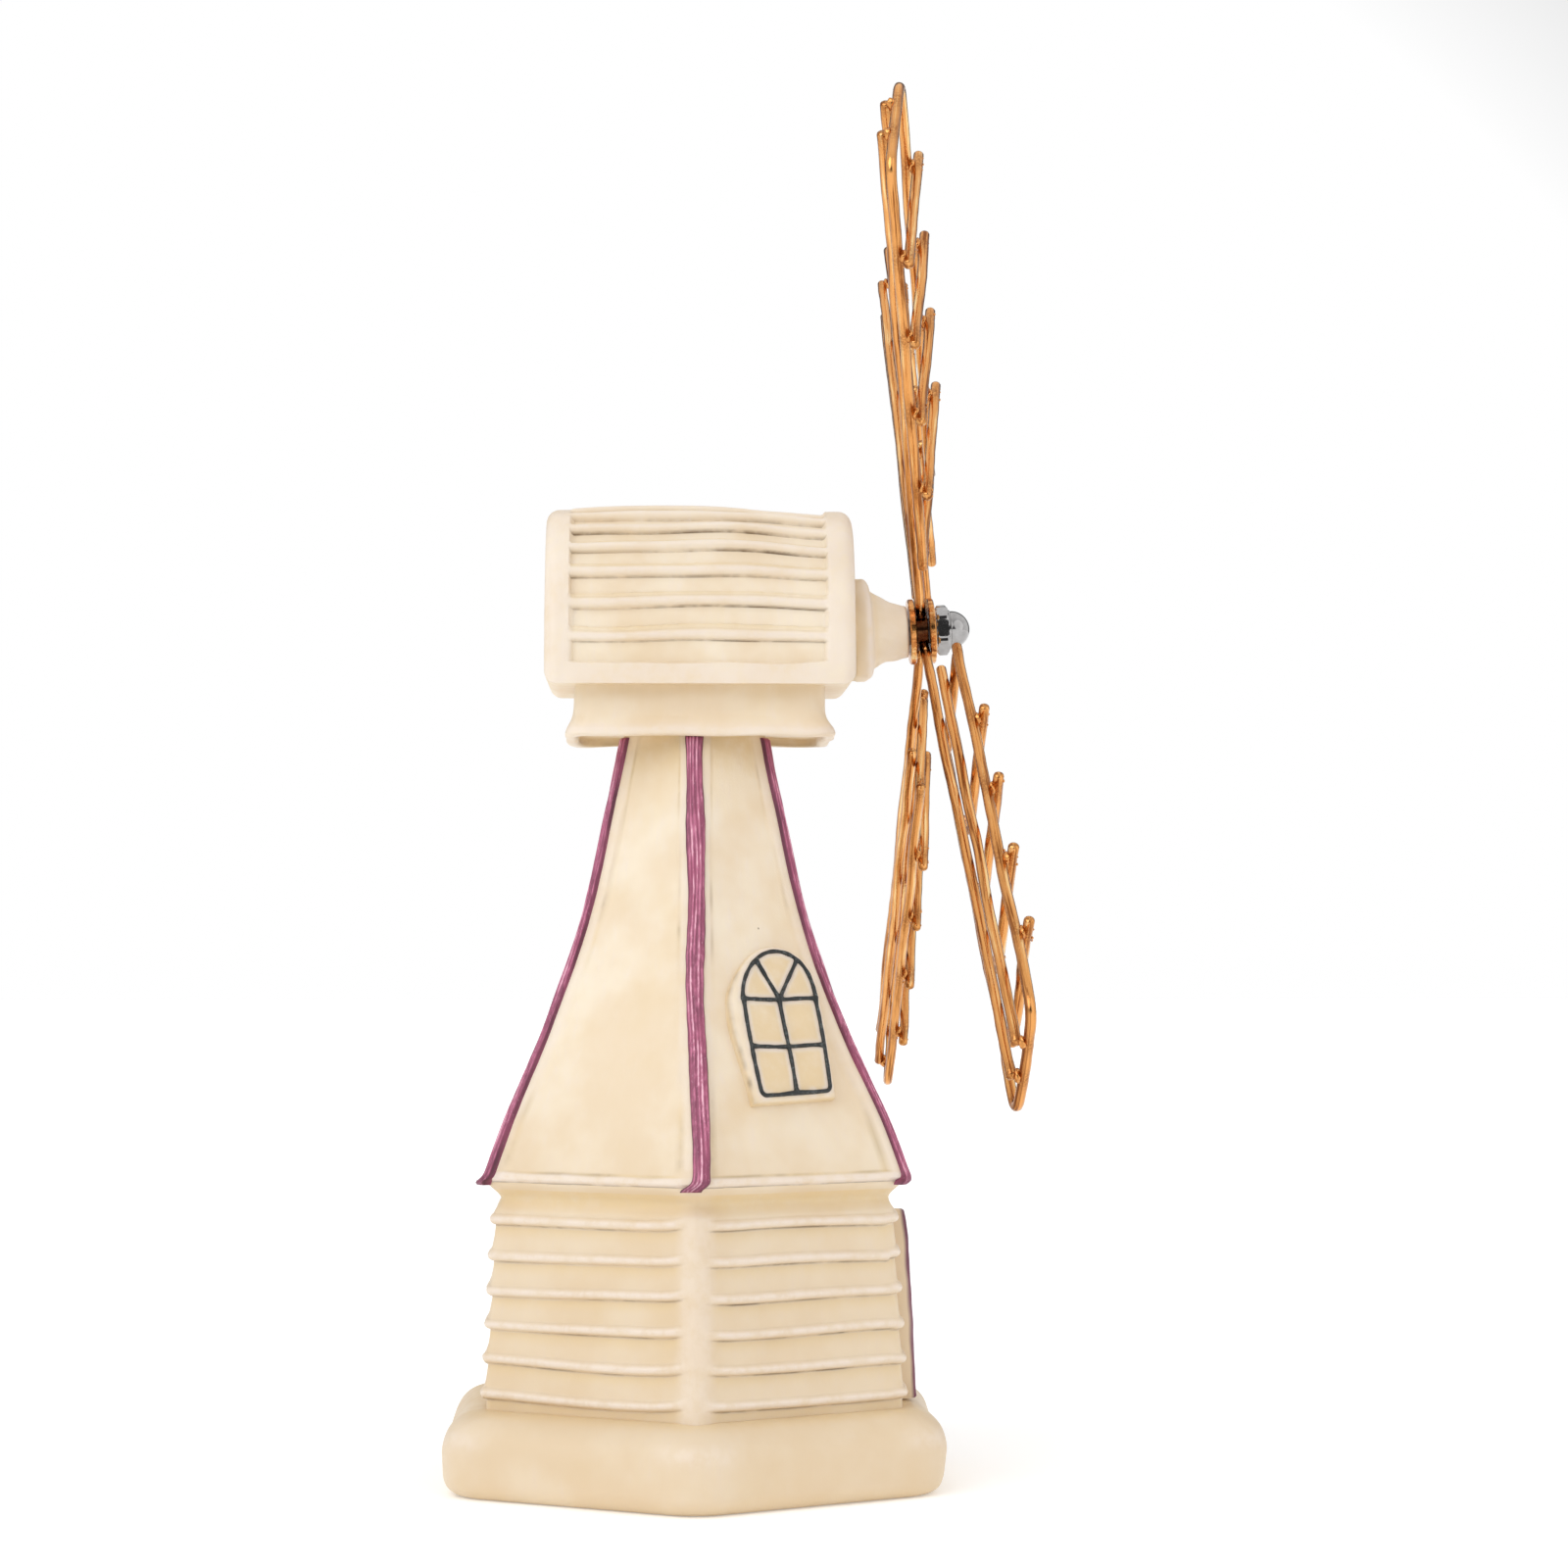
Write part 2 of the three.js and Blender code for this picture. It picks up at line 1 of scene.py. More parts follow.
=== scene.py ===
"""Looks for the souvenir windmill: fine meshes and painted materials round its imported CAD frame.

Shape code works in millimetres and make_piece turns them into metres. +Z is up and the sails face -Y.
"""
import json
import math

import bpy
import numpy as np
from mathutils import Matrix, Vector


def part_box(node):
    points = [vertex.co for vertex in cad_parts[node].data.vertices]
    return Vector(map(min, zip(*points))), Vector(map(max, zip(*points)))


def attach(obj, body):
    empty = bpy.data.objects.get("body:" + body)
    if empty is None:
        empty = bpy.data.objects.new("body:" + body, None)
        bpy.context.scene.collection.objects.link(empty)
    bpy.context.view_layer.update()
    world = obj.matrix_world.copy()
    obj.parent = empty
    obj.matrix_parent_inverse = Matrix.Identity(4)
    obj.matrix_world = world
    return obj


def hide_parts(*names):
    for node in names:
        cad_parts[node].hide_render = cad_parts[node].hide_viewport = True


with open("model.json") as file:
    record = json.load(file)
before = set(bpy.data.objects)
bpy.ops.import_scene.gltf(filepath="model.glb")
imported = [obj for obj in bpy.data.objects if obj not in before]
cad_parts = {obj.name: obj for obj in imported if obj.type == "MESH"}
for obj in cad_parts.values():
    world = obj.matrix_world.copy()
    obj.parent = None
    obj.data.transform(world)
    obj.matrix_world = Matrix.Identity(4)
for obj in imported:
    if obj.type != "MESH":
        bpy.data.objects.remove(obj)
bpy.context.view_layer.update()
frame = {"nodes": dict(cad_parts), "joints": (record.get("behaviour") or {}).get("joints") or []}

MM = 0.001
SIDES = 6
HALF_SIDE = math.pi / SIDES


# ---- small maths ----
def smooth(x, low, high):
    """0 below low, 1 above high and an even S between them."""
    t = np.clip((np.asarray(x, float) - low) / (high - low), 0, 1)
    return t * t * (3 - 2 * t)


def bump_at(x, centre, width):
    """1 at the centre, falling to 0 about two widths away."""
    return np.exp(-(((np.asarray(x, float) - centre) / width) ** 2))


def ripple(seed, *coordinates, waves=7):
    """Smooth unevenness of about -1 to 1. A coordinate of 1 is about one wave."""
    rng = np.random.default_rng(seed)
    total = 0
    for _ in range(waves):
        direction = rng.normal(size=len(coordinates))
        direction *= rng.uniform(0.5, 1.7) / np.linalg.norm(direction)
        phase = sum(d * c for d, c in zip(direction, coordinates))
        total = total + np.sin(2 * math.pi * phase + rng.uniform(0, 2 * math.pi))
    return total / math.sqrt(1.4 * waves)


def smooth_max(a, b, blend):
    """The higher of two surfaces, with a fillet of about that size between them."""
    return 0.5 * (a + b + np.sqrt((a - b) ** 2 + blend**2))


def box_mm(node):
    low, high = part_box(node)
    return low / MM, high / MM


# ---- mesh building ----
def quads(rows, columns, closed=True):
    """Faces between rows of points. The outside is on the left of a row when the next row is above it."""
    last = columns if closed else columns - 1
    r, c = np.meshgrid(np.arange(rows - 1), np.arange(last), indexing="ij")
    a = r * columns + c
    b = r * columns + (c + 1) % columns
    return np.stack([a, b, b + columns, a + columns], -1).reshape(-1, 4).tolist()


def loft(rings, masks=None):
    """Equal closed rings joined into a closed body. Its ends are fans."""
    rings = np.asarray(rings, float)
    rows, columns, _ = rings.shape
    points = np.concatenate([rings.reshape(-1, 3), [rings[0].mean(0)], [rings[-1].mean(0)]])
    faces = quads(rows, columns)
    low, high, last = rows * columns, rows * columns + 1, (rows - 1) * columns
    for i in range(columns):
        j = (i + 1) % columns
        faces.append([low, j, i])
        faces.append([high, last + i, last + j])
    shaped = {}
    for key, mask in (masks or {}).items():
        mask = np.broadcast_to(mask, (rows, columns))
        shaped[key] = np.concatenate([mask.ravel(), [mask[0].mean(), mask[-1].mean()]])
    return points, faces, shaped


def join(parts):
    """Several (points, faces, masks) shapes as one."""
    points, faces, masks = [], [], {}
    keys = {key for part in parts for key in part[2]}
    start = 0
    for part_points, part_faces, part_masks in parts:
        points.append(np.asarray(part_points, float))
        faces += [[start + i for i in face] for face in part_faces]
        for key in keys:
            values = part_masks.get(key, np.zeros(len(part_points)))
            masks.setdefault(key, []).append(values)
        start += len(part_points)
    return np.concatenate(points), faces, {key: np.concatenate(v) for key, v in masks.items()}


def make_piece(name, shape, material, body, slot, *nodes, matrix=None, crease=50):
    """A smooth-shaded mesh object that rides on a body and stands for the CAD nodes."""
    points, faces, masks = shape
    mesh = bpy.data.meshes.new(name)
    mesh.from_pydata((np.asarray(points) * MM).tolist(), [], faces)
    if matrix is not None:
        mesh.transform(matrix)
        if matrix.determinant() < 0:
            mesh.flip_normals()
    for key, values in masks.items():
        layer = mesh.attributes.new(key, "FLOAT", "POINT")
        layer.data.foreach_set("value", np.asarray(values, np.float32))
    mesh.materials.append(material)
    mesh.shade_smooth()
    mesh.set_sharp_from_angle(angle=math.radians(crease))
    piece = bpy.data.objects.new(name, mesh)
    bpy.context.scene.collection.objects.link(piece)
    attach(piece, body)
    if nodes:
        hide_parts(*nodes)
    return piece


def in_metres(matrix):
    """A matrix whose shift is in millimetres, for a mesh in metres."""
    scaled = matrix.copy()
    scaled.translation = matrix.translation * MM
    return scaled


# ---- materials ----
class Paint:
    """A node material round one Principled shader, written a node to a line."""

    def __init__(self, name, roughness=0.5, metallic=0.0):
        self.material = bpy.data.materials.new(name)
        self.material.use_nodes = True
        self.tree = self.material.node_tree
        self.shader = self.tree.nodes["Principled BSDF"]
        self.shader.inputs["Metallic"].default_value = metallic
        self.shader.inputs["Roughness"].default_value = roughness

    def node(self, kind, inputs=None, output=0, **settings):
        node = self.tree.nodes.new(kind)
        for key, value in settings.items():
            setattr(node, key, value)
        for key, value in (inputs or {}).items():
            if isinstance(value, bpy.types.NodeSocket):
                self.tree.links.new(value, node.inputs[key])
            else:
                node.inputs[key].default_value = value
        return node.outputs[output]

    def place(self, scale=(1, 1, 1), turn=(0, 0, 0)):
        """Object coordinates in millimetres, stretched by the scale."""
        where = self.node("ShaderNodeTexCoord", output="Object")
        stretch = [s / MM for s in scale]
        inputs = {"Vector": where, "Scale": stretch, "Rotation": turn}
        return self.node("ShaderNodeMapping", inputs)

    def noise(self, scale, where=None, detail=4, roughness=0.55):
        inputs = {"Vector": where or self.place(), "Scale": scale, "Detail": detail}
        inputs["Roughness"] = roughness
        return self.node("ShaderNodeTexNoise", inputs)

    def mask(self, name):
        return self.node("ShaderNodeAttribute", output="Fac", attribute_name=name)

    def ramp(self, value, low, high, to_low=0.0, to_high=1.0):
        inputs = {0: value, 1: low, 2: high, 3: to_low, 4: to_high}
        return self.node("ShaderNodeMapRange", inputs, interpolation_type="SMOOTHSTEP")

    def maths(self, operation, a, b):
        return self.node("ShaderNodeMath", {0: a, 1: b}, operation=operation)

    def mix(self, amount, a, b):
        """Colour a where the amount is 0 and b where it is 1."""
        a, b = [(*c, 1) if isinstance(c, tuple) else c for c in (a, b)]
        inputs = {0: amount, 6: a, 7: b}
        return self.node("ShaderNodeMix", inputs, output=2, data_type="RGBA")

    def bump(self, height, strength, depth, normal=None):
        inputs = {"Height": height, "Strength": strength, "Distance": depth * MM}
        if normal:
            inputs["Normal"] = normal
        return self.node("ShaderNodeBump", inputs)

    def finish(self, colour, roughness=None, normal=None):
        for key, value in (("Base Color", colour), ("Roughness", roughness), ("Normal", normal)):
            if value is not None:
                self.tree.links.new(value, self.shader.inputs[key])
        return self.material


CREAM = (0.79, 0.645, 0.46)
CREAM_LIGHT = (0.855, 0.75, 0.59)
CREAM_GOLD = (0.74, 0.56, 0.30)
CREAM_PAINTED_SHADE = (0.62, 0.455, 0.27)
DRY_BRUSH_AND_HIGHLIGHT = (0.82, 0.715, 0.625)
ANTIQUE_AND_SHADOW_BROWN = (0.13, 0.075, 0.03)


def cream_paint():
    """Cream resin with a golden wash in the hollows that is partly painted shade, a pale dry brush on the
    edges and crests that is partly painted highlight, thin brown lines that are partly painted shadow, and
    painted shade that darkens it towards the bottom.
    """
    p = Paint("antiqued_cream")
    cloud = p.noise(0.07, detail=3)
    colour = p.mix(p.ramp(cloud, 0.35, 0.68), CREAM, CREAM_LIGHT)
    strokes = p.noise(0.9, p.place((1, 1, 0.12)), detail=5, roughness=0.65)
    tint = p.maths("MULTIPLY", p.ramp(strokes, 0.45, 0.75), p.ramp(cloud, 0.4, 0.6, 0.1, 0.45))
    colour = p.mix(tint, colour, DRY_BRUSH_AND_HIGHLIGHT)
    gold = p.maths("MULTIPLY", p.ramp(p.noise(0.11, detail=2), 0.5, 0.75), 0.22)
    colour = p.mix(gold, colour, CREAM_GOLD)
    height = p.node("ShaderNodeSeparateXYZ", {0: p.place()}, output=2)
    # painted shade: the cream darkens towards the bottom
    colour = p.mix(p.ramp(height, 30, 75, 0.5, 0.0), colour, CREAM_PAINTED_SHADE)
    mottle = p.noise(0.45, detail=5, roughness=0.6)
    # golden wash in the hollows, partly painted shade under lips, ledges and the skirt
    wash = p.maths("MULTIPLY", p.mask("wash"), p.ramp(mottle, 0.25, 0.6, 0.45, 1.0))
    colour = p.mix(wash, colour, CREAM_GOLD)
    # pale dry brush on edges and crests, partly painted highlight
    dry = p.maths("MULTIPLY", p.mask("dry"), p.ramp(mottle, 0.3, 0.6, 0.35, 0.95))
    colour = p.mix(dry, colour, DRY_BRUSH_AND_HIGHLIGHT)
    broken = p.ramp(p.noise(0.16, detail=3, roughness=0.6), 0.36, 0.56, 0.25, 1.0)
    # thin brown lines, partly painted shadow under lips and at the boards' ends
    line = p.maths("MULTIPLY", p.mask("line"), broken)
    colour = p.mix(line, colour, ANTIQUE_AND_SHADOW_BROWN)
    pits = p.node("ShaderNodeTexVoronoi", {"Vector": p.place(), "Scale": 0.075}, output="Distance")
    pit = p.ramp(pits, 0.014, 0.022, 1.0, 0.0)
    colour = p.mix(p.maths("MULTIPLY", pit, 0.75), colour, ANTIQUE_AND_SHADOW_BROWN)
    grain = p.noise(3.2, detail=6, roughness=0.7)
    normal = p.bump(grain, 0.35, 0.08)
    normal = p.bump(strokes, 0.3, 0.12, normal)
    roughness = p.ramp(p.noise(0.5), 0.3, 0.7, 0.36, 0.5)
    return p.finish(colour, roughness, normal)


def mauve_paint():
    """Brushed mauve paint: pale streaks on the ridges along the strip and dark ones between them."""
    p = Paint("brushed_mauve")
    ridge = p.mask("ridge")
    fine = p.noise(1.7, p.place((1, 1, 0.05)), detail=4, roughness=0.65)
    broad = p.noise(0.5, p.place((1, 1, 0.2)), detail=3)
    streak = p.maths("ADD", p.maths("MULTIPLY", ridge, 0.5), p.maths("MULTIPLY", fine, 0.7))
    colour = p.mix(p.ramp(streak, 0.38, 0.66), (0.22, 0.045, 0.095), (0.56, 0.17, 0.285))
    colour = p.mix(p.ramp(broad, 0.35, 0.7, 0, 0.5), colour, (0.40, 0.085, 0.17))
    colour = p.mix(p.ramp(streak, 0.64, 0.78, 0, 0.9), colour, (0.88, 0.52, 0.62))
    flecks = p.noise(4.5, p.place((1, 1, 0.4)), detail=4, roughness=0.7)
    colour = p.mix(p.ramp(flecks, 0.62, 0.7, 0, 0.55), colour, (0.86, 0.55, 0.66))
    colour = p.mix(p.mask("line"), colour, (0.075, 0.014, 0.03))
    colour = p.mix(p.mask("bare"), colour, CREAM)
    normal = p.bump(fine, 0.45, 0.12)
    roughness = p.ramp(fine, 0.3, 0.7, 0.34, 0.5)
    return p.finish(colour, roughness, normal)


def dark_line_paint():
    p = Paint("dark_window_paint")
    wear = p.noise(1.4, detail=5, roughness=0.65)
    colour = p.mix(p.ramp(wear, 0.5, 0.74), (0.010, 0.014, 0.015), (0.12, 0.14, 0.14))
    return p.finish(colour, p.ramp(wear, 0.3, 0.7, 0.28, 0.5), p.bump(wear, 0.5, 0.12))


def copper_plate(name, turned=False):
    """Copper plating over drawn wire: streaks along the wire that are partly the plating's tone and partly
    painted highlight and shade, darker where it was soldered, with painted shade on the wires' sides and
    painted shadow in the gap between the hub's discs.
    """
    p = Paint(name, metallic=1.0)
    if turned:
        lie = p.place((1, 0.3, 1))
    else:
        lie = p.node("ShaderNodeCombineXYZ", {0: p.mask("run"), 1: p.mask("round_x"), 2: p.mask("round_y")})
    streak = p.noise(1.0, lie, detail=4, roughness=0.65)
    cloud = p.noise(0.35, detail=4, roughness=0.6)
    # the dark and bright streaks are partly the plating's own tone and partly painted shade and painted
    # highlight
    colour = p.mix(p.ramp(streak, 0.36, 0.5), (0.26, 0.08, 0.018), (0.80, 0.37, 0.115))
    colour = p.mix(p.ramp(streak, 0.54, 0.66), colour, (1.0, 0.71, 0.34))
    colour = p.mix(p.ramp(cloud, 0.5, 0.8, 0, 0.4), colour, (0.80, 0.36, 0.13))
    # painted shade on the wires' sides
    patina = p.maths("MULTIPLY", p.mask("patina"), p.ramp(cloud, 0.3, 0.6, 0.5, 1.0))
    colour = p.mix(patina, colour, (0.15, 0.045, 0.012))
    speckle = p.noise(2.6, detail=5, roughness=0.75)
    colour = p.mix(p.ramp(speckle, 0.6, 0.72, 0, 0.4), colour, (0.98, 0.62, 0.30))
    dull = p.maths("MULTIPLY", p.mask("solder"), p.ramp(speckle, 0.38, 0.58, 0.1, 0.8))
    colour = p.mix(dull, colour, (0.24, 0.075, 0.022))
    # painted shadow in the gap between the hub's discs
    colour = p.mix(p.mask("painted_gap_shadow"), colour, (0.05, 0.014, 0.008))
    normal = p.bump(speckle, 0.2, 0.08)
    normal = p.bump(streak, 0.25, 0.08, normal)
    if turned:
        normal = p.bump(p.node("ShaderNodeTexWave", {"Vector": p.place(), "Scale": 2.2}), 0.1, 0.04, normal)
    roughness = p.ramp(speckle, 0.3, 0.75, 0.1, 0.24)
    return p.finish(colour, roughness, normal)


def chrome_plate():
    p = Paint("polished_chrome", metallic=1.0)
    haze = p.noise(0.8, detail=4)
    colour = p.mix(p.ramp(haze, 0.3, 0.7), (0.36, 0.35, 0.345), (0.44, 0.43, 0.425))
    return p.finish(colour, p.ramp(haze, 0.3, 0.75, 0.05, 0.13), p.bump(haze, 0.05, 0.05))


def zinc_plate():
    p = Paint("zinc_plated_steel", metallic=1.0)
    grain = p.noise(1.2, p.place((1, 0.25, 1)), detail=5, roughness=0.7)
    colour = p.mix(grain, (0.40, 0.41, 0.43), (0.66, 0.67, 0.68))
    return p.finish(colour, p.ramp(grain, 0.3, 0.7, 0.3, 0.5), p.bump(grain, 0.3, 0.08))


cream = cream_paint()
mauve = mauve_paint()
lead = dark_line_paint()
copper_wire = copper_plate("copper_wire_plate")
copper_disc = copper_plate("copper_disc_plate", turned=True)
chrome = chrome_plate()
zinc = zinc_plate()


# ---- six-sided bodies ----
def hex_grid(heights, apothems, radius, wall_steps, arc_steps):
    """Rows of a six-sided outline with round corners on +X and -X, as grids of rows by columns.

    Returns the points, the outward normals, the wall's number, the way along it from its middle,
    the way round to the nearest corner's middle and that corner's number.
    """
    side, angle, along = [], [], []
    for s in range(SIDES):
        for j in range(arc_steps):
            side.append(s)
            angle.append((s * 2 + 2 * (j / arc_steps) - 1) * HALF_SIDE)
            along.append(0.0)
        for j in range(wall_steps):
            side.append(s)
            angle.append((s * 2 + 1) * HALF_SIDE)
            along.append(j / wall_steps)
    side, angle, along = np.array(side), np.array(angle), np.array(along)
    heights, apothems = np.asarray(heights, float), np.asarray(apothems, float)
    reach = ((apothems - radius) / math.cos(HALF_SIDE))[:, None]
    start, end = side * 2 * HALF_SIDE, (side + 1) * 2 * HALF_SIDE
    x = reach * ((1 - along) * np.cos(start) + along * np.cos(end)) + radius * np.cos(angle)
    y = reach * ((1 - along) * np.sin(start) + along * np.sin(end)) + radius * np.sin(angle)
    z = np.broadcast_to(heights[:, None], x.shape)
    normals = np.stack([np.cos(angle), np.sin(angle), np.zeros_like(angle)], -1)
    on_arc = (along == 0) & (np.abs(angle - start) < HALF_SIDE - 1e-9)
    round_way = np.where(on_arc, radius * np.abs(angle - start), radius * HALF_SIDE)
    corner_way = round_way + np.where(on_arc, 0, reach * np.minimum(along, 1 - along))
    nearest = np.where(along < 0.5, side, side + 1) % SIDES
    across = (along - 0.5) * reach
    grid = {"points": np.stack([x, y, z], -1), "normals": normals, "side": side}
    grid.update(across=across, corner_way=corner_way, corner=nearest, z=z)
    return grid


def pushed(grid, distance):
    return grid["points"] + grid["normals"] * np.asarray(distance)[..., None]


# ---- plinth ----
_, plinth_high = box_mm("base_plinth")
PLINTH_TOP = plinth_high.z
PLINTH_APOTHEM = plinth_high.y
PLINTH_FOOT_RADIUS = 3.2
PLINTH_SHOULDER = (6.2, 6.3)


def plinth_shape():
    turn = np.linspace(0, math.pi / 2, 14)
    foot, (wide, high) = PLINTH_FOOT_RADIUS, PLINTH_SHOULDER
    heights = np.concatenate([foot * (1 - np.cos(turn)), PLINTH_TOP - high + high * np.sin(turn)])
    apothems = np.concatenate(
        [PLINTH_APOTHEM - foot + foot * np.sin(turn), PLINTH_APOTHEM - wide + wide * np.cos(turn)]
    )
    grid = hex_grid(heights, apothems, 8, 26, 14)
    x, y, z = np.moveaxis(grid["points"], -1, 0)
    free = smooth(z, 0, 3)
    uneven = 0.22 * ripple(1, x / 24, y / 24, z / 12) * free
    flow = np.cos(6 * np.arctan2(y, x)) * bump_at(z, PLINTH_TOP - 2.5, 2.6)
    rings = pushed(grid, uneven + 0.25 * flow)
    # painted shade along the top edge under the storey and at the foot by the floor, partly the golden wash;
    # painted highlight on the shoulder by the corners, partly dry brush
    wash = 0.5 * smooth(z, PLINTH_TOP - 1.2, PLINTH_TOP) + 0.25 * smooth(-z, -3, 0)
    dry = 0.45 * bump_at(z, PLINTH_TOP - 4, 1.6) * smooth(-grid["corner_way"], -9, -3)
    return loft(rings, {"wash": wash, "dry": dry})


make_piece("plinth_casting", plinth_shape(), cream, "mill", "cream_resin", "base_plinth")


# ---- lower storey ----
_, storey_high = box_mm("lower_storey")
BEAD_FIRST, BEAD_PITCH, BEAD_COUNT = 15.2, 5.4, 6
BEAD_APOTHEM, STOREY_TAPER = 32.85, 0.05
BEAD_RADIUS, BEAD_DEPTH = 0.8, 0.95
COVE_APOTHEM = 29.9
SEAM_CORNERS = (0, 3)  # the mould parted here, so the beads fade out beside these corners


def clapboard(height, pitch, radius, depth):
    """Profile of lapped boards, against the bead's crest: height is measured up from the bead below."""
    bead = -depth + (depth) * np.sqrt(np.clip(1 - (height / radius) ** 2, 0, 1))
    face = -depth * (0.45 + 0.55 * np.clip((height - radius) / (pitch - 2 * radius), 0, 1))
    face = np.where(height < 0, -depth, face)
    blend = np.where(height < 0, 0.06, 0.35)
    return smooth_max(bead, face, blend) - blend / 2 * (height > radius)


def storey_shape():
    heights = np.arange(PLINTH_TOP - 0.3, storey_high.z + 0.25, 0.135)
    apothems = BEAD_APOTHEM - (heights - BEAD_FIRST) * STOREY_TAPER
    grid = hex_grid(heights, apothems, 2.6, 38, 8)
    z, way, across, side = grid["z"], grid["corner_way"], grid["across"], grid["side"][None, :]
    seam = np.isin(grid["corner"], SEAM_CORNERS)
    fade = np.where(seam, smooth(way, 1.6, 4.4), 1.0)
    curl = np.where(side == 2, 1.0, 0.45) * seam * np.exp(-np.maximum(way - 2, 0) / 1.6)
    wave = ripple(3, across / 34, side * 7.3, z / 14) * 0.28
    level = z - wave - curl * 0.9
    board = np.clip(np.floor((level - BEAD_FIRST + BEAD_PITCH - 1.1) / BEAD_PITCH), 0, BEAD_COUNT)
    bead_z = BEAD_FIRST + (board - 1) * BEAD_PITCH
    above = level - bead_z
    above = np.where(above > BEAD_PITCH - 1.1, above - BEAD_PITCH, above)
    field = clapboard(above, BEAD_PITCH, BEAD_RADIUS, BEAD_DEPTH)
    first_face = level < BEAD_FIRST - 1.1
    field = np.where(first_face, -BEAD_DEPTH, field)
    post = -0.3 + 0.1 * ripple(4, z / 9, way / 6)
    push = fade * field + (1 - fade) * post
    cove_foot = BEAD_FIRST + (BEAD_COUNT - 1) * BEAD_PITCH + 0.9
    into_cove = smooth(z, cove_foot, cove_foot + 2.2)
    flare = smooth(z, 45.2, storey_high.z + 0.3) * 2.1
    cove = COVE_APOTHEM - (BEAD_APOTHEM - (z - BEAD_FIRST) * STOREY_TAPER) + flare
    push = push * (1 - into_cove) + cove * into_cove
    push += 0.07 * ripple(5, across / 9, z / 7, side * 3.1)
    under = bump_at(above, -0.84, 0.15) * fade * (1 - into_cove) * (z > BEAD_FIRST - 2)
    strength = 0.35 + 0.3 * ripple(6, across / 18, bead_z, side * 5.7) + 0.2 * np.isin(side, (3, 0))
    crest = bump_at(above, 0.1, 0.55) * fade * (1 - into_cove)
    # the brown lines paint a shadow under each bead, the wash paints shade under the bead above and in the
    # cove under the skirt, and the dry brush paints a highlight on the bead crests and corner posts, each
    # partly real line, wash and dry brush
    masks = {
        "line": np.clip(under * strength, 0, 0.9),
        "wash": np.clip(
            0.5 * (1 - into_cove) * smooth(above, 2.2, 4.3) * fade + 0.75 * into_cove * (z < 46.6), 0, 1
        ),
        "dry": np.clip(0.85 * crest + 0.45 * (1 - fade) * (1 - into_cove * 0.6), 0, 1),
    }
    return loft(pushed(grid, push), masks)


make_piece("storey_casting", storey_shape(), cream, "mill", "cream_resin", "lower_storey", crease=70)


# ---- tower ----
tower_low, tower_high = box_mm("tower_body")
# apothem and height of the flared profile
TOWER_PROFILE = ((32.7, 47.9), (29.4, 57), (23.4, 71), (17.5, 88), (13.3, 107), (11.2, 117.6))
TOWER_CORNER = 3.2
STRIP_HALF_WIDTH = 2.7
LIP_TOP = 49.25


def spline(knots, samples):
    """A smooth curve through the knots, as rows."""
    knots = np.asarray(knots, float)
    padded = np.vstack([2 * knots[0] - knots[1], knots, 2 * knots[-1] - knots[-2]])
    rows = []
    for t in np.linspace(0, len(knots) - 1, samples):
        i = min(int(t), len(knots) - 2)
        u = t - i
        a, b, c, d = padded[i : i + 4]
        rows.append(
            0.5 * (2 * b + (c - a) * u + (2 * a - 5 * b + 4 * c - d) * u**2 + (3 * b - a - 3 * c + d) * u**3)
        )
    return np.array(rows)


tower_curve = spline(TOWER_PROFILE, 200)


def tower_apothem(z):
    return np.interp(z, tower_curve[:, 1], tower_curve[:, 0])


def tower_shape():
    lip = np.linspace(tower_low.z - 0.15, LIP_TOP + 0.5, 14)
    heights = np.concatenate([lip, np.linspace(LIP_TOP + 0.8, tower_high.z, 130)])
    grid = hex_grid(heights, tower_apothem(heights), TOWER_CORNER, 30, 8)
    z, way, across, side = grid["z"], grid["corner_way"], grid["across"], grid["side"][None, :]
    waver = way + 0.25 * ripple(8, z / 18, side * 4.1)
    strip = 1 - smooth(waver, STRIP_HALF_WIDTH - 0.25, STRIP_HALF_WIDTH + 0.2)
    on_lip = 1 - smooth(z + 0.15 * ripple(9, across / 14, side * 2.3), LIP_TOP - 0.2, LIP_TOP + 0.2)
    raised = np.maximum(strip, on_lip)
    push = 0.25 * (raised - 1)
    push += 0.12 * ripple(10, across / 16, z / 16, side * 5.9) * (1 - raised)
    push -= 0.75 * (1 - smooth(z, tower_low.z - 0.15, tower_low.z + 0.55))
    crease = bump_at(way, STRIP_HALF_WIDTH + 0.05, 0.16) * (1 - on_lip)
    above_lip = bump_at(z, LIP_TOP + 0.15, 0.22) * (1 - strip)
    under_lip = 1 - smooth(z, tower_low.z - 0.1, tower_low.z + 0.25)
    broken = 0.5 + 0.5 * ripple(11, z / 8, side * 3.7, across / 10)
    # painted shadow under the skirt's lip and above the tower's lip, painted shade under the head's ledge at
    # the top, and painted highlight on the pale lip and corner strips, each partly real line, wash and dry
    # brush
    masks = {
        "line": np.clip(0.32 * crease * broken + 0.4 * above_lip * broken + 0.5 * under_lip, 0, 1),
        "wash": np.clip(0.45 * crease + 0.5 * above_lip + 0.75 * smooth(z, 106, 117), 0, 1),
        "dry": np.clip(0.8 * on_lip + 0.4 * strip, 0, 1),
    }
    return loft(pushed(grid, push), masks)


make_piece("tower_casting", tower_shape(), cream, "mill", "cream_resin", "tower_body", crease=70)


# ---- corner battens ----
BATTEN_WIDTH, BATTEN_THICK, BATTEN_SINK, BATTEN_TOP = 2.8, 0.85, 0.35, 116.9
BATTEN_RIDGES = 5


